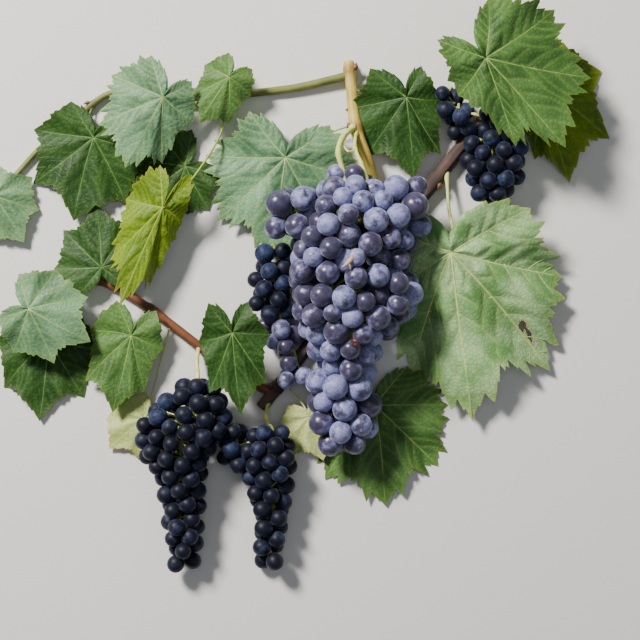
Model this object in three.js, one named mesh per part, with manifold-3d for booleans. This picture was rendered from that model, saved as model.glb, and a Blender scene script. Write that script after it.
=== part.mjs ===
// A fruiting branch of grapevine, cut off and laid on a level surface. Its canes, leaves and bunches of
// black grapes keep the places they had as it hung, so that it looks from above as it did from in front.
// Millimetres, +Z up: X runs across the branch, Y towards the top of its shoot, and Z = 0 is the surface.

import * as THREE from "three";
import { mergeVertices } from "three/addons/utils/BufferGeometryUtils.js";
import Module from "manifold-3d";

const wasm = await Module();
wasm.setup();

// Driving dimensions
const GAP = 0.35; // left between two pieces that meet
const BRANCH_MIDDLE = [-23.6, 24.6]; // X and Y of the middle of the spray, where the part's origin goes
const UP = new THREE.Vector3(0, 0, 1);

const LIMB_SIDES = 6;
const RING_SPACING = 24; // between the rings of a cane, away from its joints
const JOINT_SWELLING = 0.24; // share by which a cane thickens at a joint
const JOINT_LENGTH = 5; // half length of that swelling

const STALK_SIDES = 5;
const LEAF_STALK_SIDES = 3;
const STALK_STEPS = 4;

const BLADE_THICKNESS = 0.02; // shares of a leaf's length, here and in the next lines
const LEAF_STALK_RADIUS = 0.016;
const LEAF_BULGE = 0.055; // how far the blade rises between two veins
const LEAF_WAVE = 0.03; // how far its margin waves up and down
const TOOTH_DEPTH = 0.08; // share of the reach by which a tooth stands out
const TOOTH_NOTCH = 0.72; // place of the notch in the length of a tooth
const LOBE_POINT = 1.1; // 1 gives straight-sided lobes, more gives hollow sides
const LOBE_DIFFERENCE = 0.14; // between a leaf's two halves
const INNER_RING = 0.52; // place of the blade's inner ring

const BERRY_PRESS = 0.97; // how close two berries sit, as a share of touching
const BERRY_FACETING = 0.95; // a faceted berry's corners, as a share of its radius
const REACH_INNER = 0.75; // berries stay between this share of their lobe's outline
const REACH_LOW = 0.95; // and their own share, drawn between these two
const REACH_HIGH = 1.1;
const CORE_SINK = 1.6; // berry radii from the outline down to the bunch's core
const CORE_SIDES = 6;
const UNDERNEATH = 0.1; // Z of the outward direction below which a berry is underneath
const SLICES = 240;
const RELAX_ROUNDS = 150;
const RELAX_STEP = 0.35;
const GOLDEN_ANGLE = Math.PI * (3 - Math.sqrt(5));
const BEAD_SPACING = 3; // between the points of a cane that a berry is kept off
const MEETS = 0.6; // how deep a berry may still press on a cane before it is left out

// The blade's outline, from the midrib round to the stalk: degrees from the midrib and reach as a share of
// the leaf's length. Lobe tips and the bays between them take turns.
const LOBES = [
  [0, 1],
  [22, 0.76],
  [40, 0.9],
  [62, 0.69],
  [84, 0.74],
  [108, 0.56],
  [134, 0.53],
  [180, 0.08],
];

// Canes: the points that each one's middle follows, from within the cane that bears it, its radius at both
// ends, and its joints as shares of its length.
const CANES = {
  old_cane: {
    path: [
      [143, 174, 6.1], [110, 135, 6.1], [76, 92, 6], [35, 41, 5.9], [4, -1, 5.8], [-23, -38, 5.6],
      [-43, -64, 5.4],
    ],
    radius: [5, 4.3],
    joints: [0.09, 0.3, 0.5, 0.72, 0.9],
    colour: 0x6a4b41,
  },
  fruiting_shoot: {
    path: [
      [50, 59, 6], [42, 86, 12], [34, 115, 13.5], [26, 139, 12.5], [23, 166, 8.5], [21, 188, 4.9],
    ],
    radius: [4.9, 3.9],
    joints: [0.12, 0.6, 0.94],
    colour: 0xa58c4c,
  },
  left_cane: {
    path: [
      [-34, -53, 5], [-62, -39, 4.6], [-84, -22, 4.3], [-122, 7, 4.1], [-154, 26, 3.9], [-182, 31, 3.7],
      [-207, 21, 3.2],
    ],
    radius: [3.7, 2.6],
    joints: [0.2, 0.5, 0.72, 0.97],
    colour: 0x7a4a35,
  },
  hanging_shoot: {
    path: [
      [22, 178, 6], [-18, 169, 4], [-60, 164, 3.8], [-95, 158, 3.7], [-126, 164, 3.6], [-152, 165, 3.4],
      [-172, 152, 3.3], [-204, 125, 3], [-228, 98, 2.5],
    ],
    radius: [3.1, 2],
    joints: [0.3, 0.44, 0.72, 0.98],
    colour: 0x77803a,
  },
};

// Bunches: each lobe's stations are X, Y and Z of its middle, half its width and half its depth, followed by
// its berries' mean radius and their count. Then come the spread of the radii, the seed of the draw and the
// stalks.
const BUNCHES = {
  main_bunch: {
    lobes: [
      {
        stations: [
          [19, 109, 46, 8, 8], [18, 100, 44, 13, 15], [22, 92, 41, 24, 24], [27, 85, 39, 37, 32],
          [24, 72, 38, 46, 37], [22, 42, 38, 45, 36], [25, 22, 37, 47, 36], [24, 4, 35, 42, 34],
          [18, -14, 32, 29, 29], [17, -33, 29, 20, 22],
        ],
        berry: 7.9,
        count: 108,
      },
      {
        stations: [
          [17, -19, 29, 16, 16], [16, -34, 28, 23, 24], [17, -60, 25, 24, 23], [17, -80, 23, 23, 22],
          [18, -95, 22, 10, 10],
        ],
        berry: 8.8,
        count: 24,
      },
      {
        stations: [
          [-14, 93, 40, 8, 8], [-18, 84, 40, 17, 16], [-19, 70, 39, 17, 16], [-14, 59, 38, 8, 8],
        ],
        berry: 8.4,
        count: 8,
      },
      {
        stations: [
          [54, 100, 40, 8, 8], [59, 90, 39, 18, 17], [61, 74, 38, 18, 17], [56, 61, 38, 8, 8],
        ],
        berry: 8.2,
        count: 9,
      },
    ],
    spread: 1.7,
    seed: 11,
    stalks: [
      {
        from: ["fruiting_shoot", 0.6],
        path: [[16, 129, 34], [13, 117, 46], [18, 98, 43], [23, 62, 39]],
        radius: 2.1,
      },
      {
        from: ["fruiting_shoot", 0.57],
        path: [[25, 122, 33], [29, 110, 46], [33, 97, 45], [28, 80, 40]],
        radius: 1.5,
      },
      { path: [[15, 126, 37], [20, 119, 41], [26, 121, 35]], radius: 0.9 },
      { path: [[23, 62, 39], [24, 4, 35], [16, -38, 28], [17, -78, 23]], radius: 2.6 },
      { path: [[23, 68, 38], [2, 77, 39], [-18, 78, 39]], radius: 1.3 },
      { path: [[27, 70, 39], [42, 78, 39], [60, 80, 38]], radius: 1.3 },
    ],
    colour: 0x3a3f63,
  },
  shaded_wing: {
    lobes: [
      {
        stations: [
          [-33, 54, 16, 8, 8], [-35, 44, 17, 14, 12], [-35, 26, 17, 16, 13], [-34, 10, 16, 16, 13],
          [-30, -4, 14, 15, 12], [-25, -17, 13, 13, 11], [-20, -31, 11, 11, 10], [-16, -43, 10, 6, 6],
        ],
        berry: 6.7,
        count: 26,
      },
    ],
    spread: 1.2,
    seed: 23,
    stalks: [{ from: ["old_cane", 0.6], path: [[-6, 14, 4], [-25, 20, 8], [-34, 12, 16]], radius: 1.3 }],
    colour: 0x2c3350,
  },
  upper_bunch: {
    lobes: [
      {
        stations: [
          [127, 154, 16, 8, 8], [127, 144, 16, 18, 13], [127, 128, 17, 25, 15], [126, 110, 18, 25, 16],
          [124, 96, 17, 18, 14], [121, 85, 16, 7, 7],
        ],
        berry: 6.4,
        count: 32,
      },
      {
        stations: [
          [90, 166, 16, 7, 7], [96, 155, 16, 14, 11], [101, 142, 16, 12, 11], [105, 132, 15, 6, 6],
        ],
        berry: 6.2,
        count: 8,
      },
    ],
    spread: 0.8,
    seed: 37,
    stalks: [
      { from: ["old_cane", 0.06], path: [[131, 160, 16], [129, 150, 16], [126, 128, 17]], radius: 1.4 },
      { path: [[127, 142, 16], [112, 148, 17], [99, 150, 16]], radius: 1.1 },
    ],
    colour: 0x29304c,
  },
  low_left_bunch: {
    lobes: [
      {
        stations: [
          [-85, -42, 19, 8, 8], [-88, -52, 21, 19, 17], [-93, -64, 22, 30, 20], [-98, -78, 22, 34, 21],
          [-103, -94, 21, 28, 20], [-101, -110, 19, 19, 18], [-99, -134, 17, 16, 15],
          [-98, -158, 15, 14, 13], [-98, -180, 13, 8, 8],
        ],
        berry: 6.4,
        count: 75,
      },
    ],
    spread: 0.8,
    seed: 41,
    stalks: [
      { from: ["left_cane", 0.35], path: [[-89, -30, 12], [-88, -42, 18], [-92, -70, 21]], radius: 1.5 },
    ],
    colour: 0x252c44,
  },
  low_right_bunch: {
    lobes: [
      {
        stations: [
          [-36, -76, 16, 8, 8], [-37, -86, 18, 18, 15], [-37, -100, 18, 21, 17], [-36, -118, 16, 18, 15],
          [-36, -140, 15, 15, 13], [-37, -162, 13, 12, 11], [-37, -180, 11, 7, 7],
        ],
        berry: 6.4,
        count: 39,
      },
      {
        stations: [
          [-60, -75, 14, 7, 7], [-62, -84, 15, 14, 12], [-61, -100, 14, 14, 12], [-57, -110, 13, 6, 6],
        ],
        berry: 6.2,
        count: 8,
      },
    ],
    spread: 0.8,
    seed: 53,
    stalks: [
      { from: ["old_cane", 0.97], path: [[-39, -70, 14], [-37, -80, 17], [-37, -100, 17]], radius: 1.5 },
      { path: [[-37, -86, 17], [-50, -88, 16], [-62, -92, 15]], radius: 1.1 },
    ],
    colour: 0x252c44,
  },
};

// Leaves: where the stalk meets the blade, the midrib's length and heading in degrees from +X, how far the
// tip is raised, how far the left and the right half (seen along the midrib) bend down about it, in degrees,
// how broad the halves are and how far their lobes spread as shares of LOBES, how far the margin droops as a
// share of the length, the teeth on each side of a lobe, where the stalk comes from, the points that it
// passes, and the seed of the leaf's own small differences.
const LEAVES = {
  left_leaf: {
    at: [-25, 117, 15], length: 76, heading: -98, tip: -3, fold: [8, 4], droop: 0.05, teeth: 2,
    from: ["fruiting_shoot", 0.62], by: [[8, 136, 9], [-12, 126, 8]], seed: 1, colour: 0x6f9a6c,
  },
  right_leaf: {
    at: [93, 48, 34], length: 125, heading: -82, tip: -9, fold: [8, 27], width: [1, 0.8], droop: 0.04,
    spread: 0.82, teeth: 2,
    from: ["old_cane", 0.27], by: [[93, 80, 16], [95, 63, 27]], seed: 2, colour: 0x7fa468,
  },
  upper_right_leaf: {
    at: [116, 183, 52], length: 84, heading: -48, tip: -2, fold: [12, 10], width: [1, 0.5], droop: 0.03,
    teeth: 2,
    from: ["old_cane", 0.02], by: [[130, 178, 20], [120, 185, 40]], seed: 3, colour: 0x4c7a38,
  },
  edge_leaf: {
    at: [158, 172, 9], length: 76, heading: -72, tip: -3, fold: [5, 5], width: [0.85, 0.42], droop: 0.03,
    teeth: 1,
    from: ["old_cane", 0.05], by: [[149, 167, 4], [155, 171, 6]], seed: 4, colour: 0x8b9a45,
  },
  behind_leaf: {
    at: [62, 160, 20], length: 60, heading: -84, tip: -8, fold: [8, 8], width: [0.6, 1], droop: 0.03,
    teeth: 1,
    from: ["fruiting_shoot", 0.8], by: [[40, 164, 13], [52, 167, 18]], seed: 5, colour: 0x33551f,
  },
  top_leaf: {
    at: [-65, 174, 24], length: 40, heading: -124, tip: -6, fold: [14, 18], width: [0.75, 0.75],
    droop: 0.04, teeth: 1,
    from: ["hanging_shoot", 0.24], by: [[-59, 169, 11], [-62, 173, 18]], seed: 6, colour: 0x7fa05a,
  },
  upper_left_leaf: {
    at: [-112, 159, 28], length: 58, heading: -119, tip: -5, fold: [20, 10], width: [0.65, 1], droop: 0.04,
    teeth: 2,
    from: ["hanging_shoot", 0.36], by: [[-97, 161, 14], [-105, 161, 22]], seed: 7, colour: 0x6d9468,
  },
  yellow_leaf: {
    at: [-112, 80, 30], length: 76, heading: -114, tip: -4, fold: [28, 20], width: [0.34, 0.55],
    droop: 0.02, teeth: 2,
    from: ["hanging_shoot", 0.28], by: [[-72, 134, 14], [-88, 106, 22], [-103, 88, 28]], seed: 8,
    colour: 0xa2ab3c,
  },
  shade_leaf: {
    at: [-98, 112, 4], length: 50, heading: -146, tip: -1, fold: [2, 2], droop: 0.02, teeth: 1,
    from: ["hanging_shoot", 0.43], by: [[-103, 146, 3], [-99, 128, 3]], seed: 9, colour: 0x2d4a1d,
  },
  far_leaf: {
    at: [-164, 132, 10], length: 62, heading: -104, tip: -3, fold: [4, 4], droop: 0.03, teeth: 1,
    from: ["hanging_shoot", 0.72], by: [[-168, 146, 7], [-165, 139, 8]], seed: 10, colour: 0x35571f,
  },
  left_edge_leaf: {
    at: [-236, 90, 12], length: 40, heading: -58, tip: -6, fold: [8, 8], droop: 0.05, teeth: 1,
    from: ["hanging_shoot", 0.97], by: [[-233, 98, 8], [-235, 94, 11]], seed: 11, colour: 0x5c7d47,
  },
  middle_left_leaf: {
    at: [-158, 38, 12], length: 48, heading: 96, tip: -8, fold: [6, 6], droop: 0.03, teeth: 1,
    from: ["left_cane", 0.7], by: [[-156, 31, 8], [-157, 34, 10]], seed: 12, colour: 0x365822,
  },
  cane_leaf: {
    at: [-136, -11, 17], length: 58, heading: -104, tip: -4, fold: [6, 6], width: [0.6, 0.75], droop: 0.03,
    teeth: 1,
    from: ["left_cane", 0.5], by: [[-124, 0, 10], [-130, -5, 14]], seed: 13, colour: 0x55704a,
  },
  fold_leaf: {
    at: [-208, 8, 28], length: 50, heading: -28, tip: -2, fold: [10, 14], droop: 0.03, teeth: 1,
    from: ["left_cane", 0.97], by: [[-212, 15, 10], [-211, 12, 21]], seed: 14, colour: 0x8fae7d,
  },
  low_edge_leaf: {
    at: [-198, -14, 4], length: 60, heading: -96, tip: -1, fold: [2, 2], width: [0.9, 0.9], droop: 0.02,
    teeth: 1,
    from: ["left_cane", 0.93], by: [[-200, 18, 3], [-199, 0, 3]], seed: 15, colour: 0x36561f,
  },
  middle_leaf: {
    at: [-62, -9, 40], length: 58, heading: -84, tip: -2, fold: [6, 6], width: [0.62, 0.62], droop: 0.02,
    teeth: 1,
    from: ["left_cane", 0.27], by: [[-71, -21, 22], [-66, -13, 33]], seed: 16, colour: 0x3f6427,
  },
  under_leaf: {
    at: [40, -62, 4], length: 74, heading: -84, tip: -1, fold: [2, 2], droop: 0.02, teeth: 2,
    from: ["old_cane", 0.6], by: [[16, -16, 3], [34, -44, 3]], seed: 17, colour: 0x3f6534,
  },
  pale_leaf_left: {
    at: [-128, -72, 6], length: 34, heading: -140, tip: -3, fold: [4, 4], droop: 0.05, teeth: 1,
    from: ["left_cane", 0.44], by: [[-114, -22, 3], [-122, -52, 2.5]], seed: 18, colour: 0xc4cb8a,
  },
  pale_leaf_middle: {
    at: [-8, -70, 10], length: 34, heading: -72, tip: -6, fold: [5, 5], droop: 0.05, teeth: 1,
    from: ["old_cane", 0.88], by: [[-20, -52, 6], [-12, -62, 8]], seed: 19, colour: 0xc6c67c,
  },
};

// Seeded draws from 0 to 1, the same on every machine
function drawsFrom(seed) {
  let state = seed;
  return () => {
    state = (state * 1664525 + 1013904223) % 4294967296;
    return state / 4294967296;
  };
}

const mix = (a, b, share) => a + (b - a) * share;
const clamp = (value, low, high) => Math.min(Math.max(value, low), high);

// A smooth line through points, as a function of the share of its length from 0 to 1
function lineThrough(points) {
  const p = points.map((point) => new THREE.Vector3(...point));
  const before = p[0].clone().multiplyScalar(2).sub(p[1]);
  const after = p[p.length - 1].clone().multiplyScalar(2).sub(p[p.length - 2]);
  const all = [before, ...p, after];
  return (share) => {
    const place = clamp(share, 0, 1) * (p.length - 1);
    const span = Math.min(Math.floor(place), p.length - 2);
    const f = place - span;
    const weights = [
      -0.5 * f + f ** 2 - 0.5 * f ** 3,
      1 - 2.5 * f ** 2 + 1.5 * f ** 3,
      0.5 * f + 2 * f ** 2 - 1.5 * f ** 3,
      -0.5 * f ** 2 + 0.5 * f ** 3,
    ];
    const point = new THREE.Vector3();
    weights.forEach((weight, k) => point.addScaledVector(all[span + k], weight));
    return point;
  };
}

function directionAt(line, share) {
  const step = 0.004;
  return line(share + step).sub(line(share - step)).normalize();
}

// A cylinder bent along a line, with its own radius at each of the given shares of the line
function limbAlong(line, shares, radiusAt, sides) {
  const rings = shares.length - 1;
  const geometry = new THREE.CylinderGeometry(1, 1, 1, sides, rings);
  const place = geometry.attributes.position;
  for (let i = 0; i < place.count; i++) {
    const share = shares[Math.round((place.getY(i) + 0.5) * rings)];
    const along = directionAt(line, share);
    const side = along.clone().cross(UP).normalize();
    const rise = side.clone().cross(along);
    const radius = radiusAt(share);
    const point = line(share);
    point.addScaledVector(side, radius * place.getX(i)).addScaledVector(rise, radius * place.getZ(i));
    place.setXYZ(i, point.x, point.y, point.z);
  }
  return geometry;
}

const evenShares = (steps) => Array.from({ length: steps + 1 }, (_, i) => i / steps);

function lengthOf(line) {
  const points = evenShares(60).map(line);
  return points.slice(1).reduce((sum, point, i) => sum + point.distanceTo(points[i]), 0);
}

// Canes

function caneOf(spec) {
  const line = lineThrough(spec.path);
  const length = lengthOf(line);
  const radiusAt = (share) => {
    const swellingAt = (joint) => Math.exp(-((((share - joint) * length) / JOINT_LENGTH) ** 2));
    const swelling = spec.joints.reduce((sum, joint) => sum + swellingAt(joint), 0);
    return mix(spec.radius[0], spec.radius[1], share) * (1 + JOINT_SWELLING * swelling);
  };
  return { ...spec, line, length, radiusAt };
}

// Rings go at each joint, at both feet of its swelling, and evenly between
function ringShares(cane) {
  const feet = [-1.3 * JOINT_LENGTH, 0, 1.3 * JOINT_LENGTH];
  const atJoints = cane.joints.flatMap((joint) => feet.map((foot) => joint + foot / cane.length));
  const clear = (share) => atJoints.every((other) => Math.abs(other - share) * cane.length > JOINT_LENGTH);
  const between = evenShares(Math.round(cane.length / RING_SPACING)).filter(
    (share) => share === 0 || share === 1 || clear(share),
  );
  return [...between, ...atJoints.filter((share) => share > 0.01 && share < 0.99)].sort((a, b) => a - b);
}

const canes = Object.fromEntries(Object.entries(CANES).map(([name, spec]) => [name, caneOf(spec)]));

// Where a stalk of a radius that goes on towards a point starts, with the gap from its cut foot to the bark
function leavesCane([name, share], towards, radius) {
  const cane = canes[name];
  const middle = cane.line(share);
  const along = directionAt(cane.line, share);
  const way = towards.clone().sub(middle).normalize();
  const out = way.clone().addScaledVector(along, -way.dot(along)).normalize();
  const lean = Math.sqrt(1 - way.dot(out) ** 2);
  return middle.addScaledVector(out, cane.radiusAt(share) + GAP + radius * lean);
}

// A stalk that starts at a cane, where it has one, and passes the points that are given
function stalkAlong(from, points, radiusAt, sides) {
  const start = from ? [leavesCane(from, new THREE.Vector3(...points[0]), radiusAt(0)).toArray()] : [];
  return limbAlong(lineThrough([...start, ...points]), evenShares(STALK_STEPS), radiusAt, sides);
}

// Leaves

// A leaf's lobes and the way it lies. The two halves of the blade bend about the midrib, and what would go
// below the surface rests on it.
function leafFrame(spec) {
  const { spread = 1, width = [1, 1] } = spec;
  const draw = drawsFrom(spec.seed);
  const wavePhase = draw() * 2 * Math.PI;
  const last = LOBES.length - 1;
  const lobes = [0, 1].map(() => LOBES.map(([degrees, reach], i) => {
    const own = 1 + LOBE_DIFFERENCE * (draw() - 0.5);
    return [i < last ? degrees * spread : degrees, i % last === 0 ? reach : reach * own];
  }));
  const [pitch, yaw] = [-spec.tip, spec.heading].map(THREE.MathUtils.degToRad);
  const turned = new THREE.Quaternion().setFromEuler(new THREE.Euler(0, pitch, yaw, "ZYX"));
  const bends = spec.fold.map(THREE.MathUtils.degToRad);
  return {
    spec, lobes, width, bends, wavePhase, turned,
    normal: UP.clone().applyQuaternion(turned),
    unturned: turned.clone().invert(),
    junction: new THREE.Vector3(...spec.at),
    thickness: spec.length * BLADE_THICKNESS,
  };
}

// Between two entries of a half's lobes: their number, and the share of the way from the tip to the bay
function spanAt(lobes, turn) {
  const span = clamp(lobes.findIndex(([degrees]) => degrees > turn) - 1, 0, lobes.length - 2);
  const share = clamp((turn - lobes[span][0]) / (lobes[span + 1][0] - lobes[span][0]), 0, 1);
  return { span, fromTip: span % 2 === 0 ? share : 1 - share };
}

// Reach of the blade, without teeth, in a direction given in degrees to the left of the midrib
function reachOf(frame, degrees) {
  const lobes = frame.lobes[degrees > 0 ? 0 : 1];
  const { span, fromTip } = spanAt(lobes, Math.min(Math.abs(degrees), 180));
  const [tip, bay] = span % 2 === 0 ? [span, span + 1] : [span + 1, span];
  return mix(lobes[bay][1], lobes[tip][1], (1 - fromTip) ** LOBE_POINT);
}

// The middle of the blade in that direction, at a reach and at its share of the whole reach there
function bladePoint(frame, degrees, reach, rim) {
  const { spec, lobes, bends } = frame;
  const half = degrees > 0 ? 0 : 1;
  const { fromTip } = spanAt(lobes[half], Math.abs(degrees));
  const angle = THREE.MathUtils.degToRad(degrees);
  const bulge = LEAF_BULGE * rim * 0.5 * (1 - Math.cos(Math.PI * fromTip));
  const wave = LEAF_WAVE * rim ** 2 * Math.sin(3 * angle + frame.wavePhase);
  const height = bulge + wave - spec.droop * rim ** 2;
  const across = Math.abs(Math.sin(angle)) * reach * frame.width[half];
  const bend = bends[half];
  const point = new THREE.Vector3(
    Math.cos(angle) * reach,
    Math.sign(degrees) * (across * Math.cos(bend) + height * Math.sin(bend)),
    height * Math.cos(bend) - across * Math.sin(bend),
  );
  point.multiplyScalar(spec.length).applyQuaternion(frame.turned).add(frame.junction);
  point.z = Math.max(point.z, frame.thickness / 2 + 0.1);
  return point;
}

// The margin of one half, as degrees and reach from the midrib round to the bay at the stalk. Each side of a
// lobe has teeth, with a notch before the next tooth.
function marginOf(frame, half) {
  const lobes = frame.lobes[half];
  const side = half === 0 ? 1 : -1;
  const { teeth } = frame.spec;
  return lobes.slice(1).flatMap(([end], span) => {
    const start = lobes[span][0];
    const rows = evenShares(teeth).slice(0, -1).flatMap((fromTip) => [
      [fromTip, fromTip === 0 ? 0 : TOOTH_DEPTH / 2],
      [fromTip + TOOTH_NOTCH / teeth, -TOOTH_DEPTH / 2],
    ]);
    const ordered = span % 2 === 0 ? rows : [[1, 0], ...rows.slice(1).reverse()];
    return ordered.map(([fromTip, out]) => {
      const degrees = side * mix(start, end, span % 2 === 0 ? fromTip : 1 - fromTip);
      return [degrees, reachOf(frame, degrees) * (1 + out)];
    });
  });
}

// Two sheets that meet at the margin, each with an inner ring at the lobes and bays
function bladeGeometry(frame) {
  const [left, right] = [0, 1].map((half) => marginOf(frame, half));
  const stalkBay = [180, LOBES[LOBES.length - 1][1]];
  const margin = [...left, stalkBay, ...right.slice(1).reverse()];
  const points = margin.map(([degrees, reach]) => bladePoint(frame, degrees, reach, 1));
  const step = 2 * frame.spec.teeth;
  const inward = ([degrees, reach]) => bladePoint(frame, degrees, reach * INNER_RING, INNER_RING);
  const inner = margin.filter((_, i) => i % step === 0).map(inward);
  inner.push(bladePoint(frame, 0, 0, 0));
  const faces = [];
  for (const side of [1, -1]) {
    const base = points.length;
    const rise = (side * frame.thickness) / 2;
    points.push(...inner.map((point) => point.clone().addScaledVector(frame.normal, rise)));
    const hub = points.length - 1;
    const face = (a, b, c) => faces.push(...(side > 0 ? [a, b, c] : [a, c, b]));
    for (let k = 0; k < inner.length - 1; k++) {
      const here = base + k;
      const next = base + ((k + 1) % (inner.length - 1));
      const rim = (i) => (k * step + i) % margin.length;
      for (let i = 0; i < step; i++) face(i < step / 2 ? here : next, rim(i), rim(i + 1));
      face(here, rim(step / 2), next);
      face(hub, here, next);
    }
  }
  const geometry = new THREE.BufferGeometry();
  const coordinates = points.flatMap((point) => point.toArray());
  geometry.setAttribute("position", new THREE.Float32BufferAttribute(coordinates, 3));
  geometry.setIndex(faces);
  return geometry;
}

function leafStalkGeometry(frame) {
  const { spec, junction, normal } = frame;
  const radius = Math.max(1, spec.length * LEAF_STALK_RADIUS);
  const end = junction.clone().addScaledVector(normal, -0.2 * radius);
  const radiusAt = (share) => mix(1.25, 0.8, share) * radius;
  return stalkAlong(spec.from, [...spec.by, end.toArray()], radiusAt, LEAF_STALK_SIDES);
}

// Bunches

// A lobe's section at a height: X and Z of the middle, half the width and half the depth
function sectionAt(stations, y) {
  const i = clamp(stations.findIndex((station) => station[1] <= y) - 1, 0, stations.length - 2);
  const [above, below] = [stations[i], stations[i + 1]];
  const share = clamp((y - above[1]) / (below[1] - above[1]), 0, 1);
  return [0, 2, 3, 4].map((k) => mix(above[k], below[k], share));
}

// Berries on a golden spiral down a lobe's outline
function spiralOf({ stations, berry, count }, spread, draw) {
  const [top, bottom] = [stations[0][1], stations[stations.length - 1][1]];
  const slices = evenShares(SLICES).map((share) => mix(top, bottom, share));
  const girths = slices.map((y) => sectionAt(stations, y)[2] + sectionAt(stations, y)[3]);
  const whole = girths.reduce((sum, girth) => sum + girth, 0);
  const berries = [];
  let slice = 0;
  let covered = girths[0];
  for (let i = 0; i < count; i++) {
    while (covered < ((i + 0.5) / count) * whole) covered += girths[++slice];
    const radius = berry + spread * (draw() + draw() - 1);
    const reach = mix(REACH_LOW, REACH_HIGH, draw());
    const angle = i * GOLDEN_ANGLE + 0.5 * draw();
    const y = clamp(slices[slice], bottom + radius, top - radius);
    const [x, z, width, depth] = sectionAt(stations, y);
    const [across, up] = [(width - radius) * Math.cos(angle), (depth - radius) * Math.sin(angle)];
    berries.push({ at: new THREE.Vector3(x + across, y, z + up), radius, reach, stations });
  }
  return berries;
}

// A bunch's berries push each other apart inside their outline. They stay off the surface below, the canes,
// the leaves and other berries, and one that still meets a cane is left out.
function berriesOf(bunch, caneBeads, leaves, others) {
  const draw = drawsFrom(bunch.seed);
  const berries = bunch.lobes.flatMap((lobe) => spiralOf(lobe, bunch.spread, draw));
  for (let round = 0; round < RELAX_ROUNDS; round++) {
    const moves = berries.map(() => new THREE.Vector3());
    for (let i = 0; i < berries.length; i++) {
      for (let j = i + 1; j < berries.length; j++) {
        const away = berries[i].at.clone().sub(berries[j].at);
        const distance = Math.max(away.length(), 1e-6);
        const short = (berries[i].radius + berries[j].radius) * BERRY_PRESS - distance;
        if (short <= 0) continue;
        moves[i].addScaledVector(away, (short * RELAX_STEP) / distance);
        moves[j].addScaledVector(away, (-short * RELAX_STEP) / distance);
      }
    }
    berries.forEach((berry, i) => {
      berry.at.add(moves[i]);
      holdInOutline(berry);
      for (const other of others) pushOff(berry, other.at, other.radius * BERRY_PRESS);
      for (const leaf of leaves) pushOffLeaf(berry, leaf);
      for (const bead of caneBeads) pushOff(berry, bead.at, bead.radius);
      berry.at.z = Math.max(berry.at.z, berry.radius + 0.1);
    });
  }
  const meets = (berry, bead) => berry.at.distanceTo(bead.at) < berry.radius + bead.radius - MEETS;
  return berries.filter((berry) => !caneBeads.some((bead) => meets(berry, bead)));
}

function holdInOutline({ at, radius, reach, stations }) {
  at.y = clamp(at.y, stations[stations.length - 1][1] + radius, stations[0][1] - radius);
  const [x, z, width, depth] = sectionAt(stations, at.y);
  const [w, d] = [Math.max(width - radius, 1), Math.max(depth - radius, 1)];
  const out = Math.max(Math.hypot((at.x - x) / w, (at.z - z) / d), 1e-6);
  const pull = out > reach ? reach / out : out < REACH_INNER ? mix(1, REACH_INNER / out, 0.3) : 1;
  at.x = x + (at.x - x) * pull;
  at.z = z + (at.z - z) * pull;
}

function pushOff(berry, from, radius) {
  const away = berry.at.clone().sub(from);
  const distance = Math.max(away.length(), 1e-6);
  const short = berry.radius + radius - distance;
  if (short > 0) berry.at.addScaledVector(away, short / distance);
}

// A berry stays over a blade that passes below its bunch's middle, and under one that passes above it
function pushOffLeaf(berry, frame) {
  const { spec } = frame;
  const flat = berry.at.clone().sub(frame.junction).applyQuaternion(frame.unturned);
  const half = flat.y > 0 ? 0 : 1;
  const bend = frame.bends[half];
  const across = flat.y / Math.cos(bend) / frame.width[half];
  const reach = Math.hypot(flat.x, across) / spec.length;
  if (reach > 1.2) return;
  const degrees = THREE.MathUtils.radToDeg(Math.atan2(across, flat.x));
  const rim = reach / reachOf(frame, degrees);
  if (rim > 1 + berry.radius / spec.length) return;
  const blade = bladePoint(frame, degrees, reach, Math.min(rim, 1));
  const side = blade.z < sectionAt(berry.stations, berry.at.y)[1] ? 1 : -1;
  const off = berry.at.clone().sub(blade).dot(frame.normal) * Math.cos(bend) * side;
  const short = berry.radius + frame.thickness / 2 + GAP - off;
  if (short > 0) berry.at.addScaledVector(frame.normal, (short * side) / Math.cos(bend));
}

// A faceted berry on its own small stalk: one corner points outwards and the one opposite is drawn in to the
// middle of the lobe. The berries underneath have the fewest faces.
function berryGeometry({ at, radius, stations }) {
  const end = radius * CORE_SINK + 1;
  const y = clamp(at.y, stations[stations.length - 1][1] + end, stations[0][1] - end);
  const [x, z] = sectionAt(stations, y);
  const middle = new THREE.Vector3(x, y, z);
  const out = at.clone().sub(middle).normalize();
  const Shape = out.z < UNDERNEATH ? THREE.OctahedronGeometry : THREE.IcosahedronGeometry;
  const geometry = new Shape(radius * BERRY_FACETING);
  const place = geometry.attributes.position;
  const corner = new THREE.Vector3().fromBufferAttribute(place, 0).normalize();
  const turn = new THREE.Quaternion().setFromUnitVectors(corner, out);
  for (let i = 0; i < place.count; i++) {
    const point = new THREE.Vector3().fromBufferAttribute(place, i);
    const inmost = point.dot(corner) < -0.99 * point.length();
    point.applyQuaternion(turn).add(at);
    place.setXYZ(i, ...(inmost ? middle : point).toArray());
  }
  return geometry;
}

// The hidden middle of a lobe, which its berries sink into, through every second station
function coreGeometry(stations, sink) {
  const last = stations.length - 1;
  const kept = stations.filter((_, i) => i === last || (i % 2 === 0 && i < last - 1));
  const geometry = new THREE.CylinderGeometry(1, 1, 1, CORE_SIDES, kept.length - 1);
  const place = geometry.attributes.position;
  for (let i = 0; i < place.count; i++) {
    const [x, y, z, width, depth] = kept[Math.round((0.5 - place.getY(i)) * (kept.length - 1))];
    const height = y + (y === stations[0][1] ? -sink : y === stations[last][1] ? sink : 0);
    const [across, up] = [Math.max(width - sink, 2), Math.max(depth - sink, 2)];
    place.setXYZ(i, x + across * place.getX(i), height, z + up * place.getZ(i));
  }
  return geometry;
}

// Solids

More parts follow.
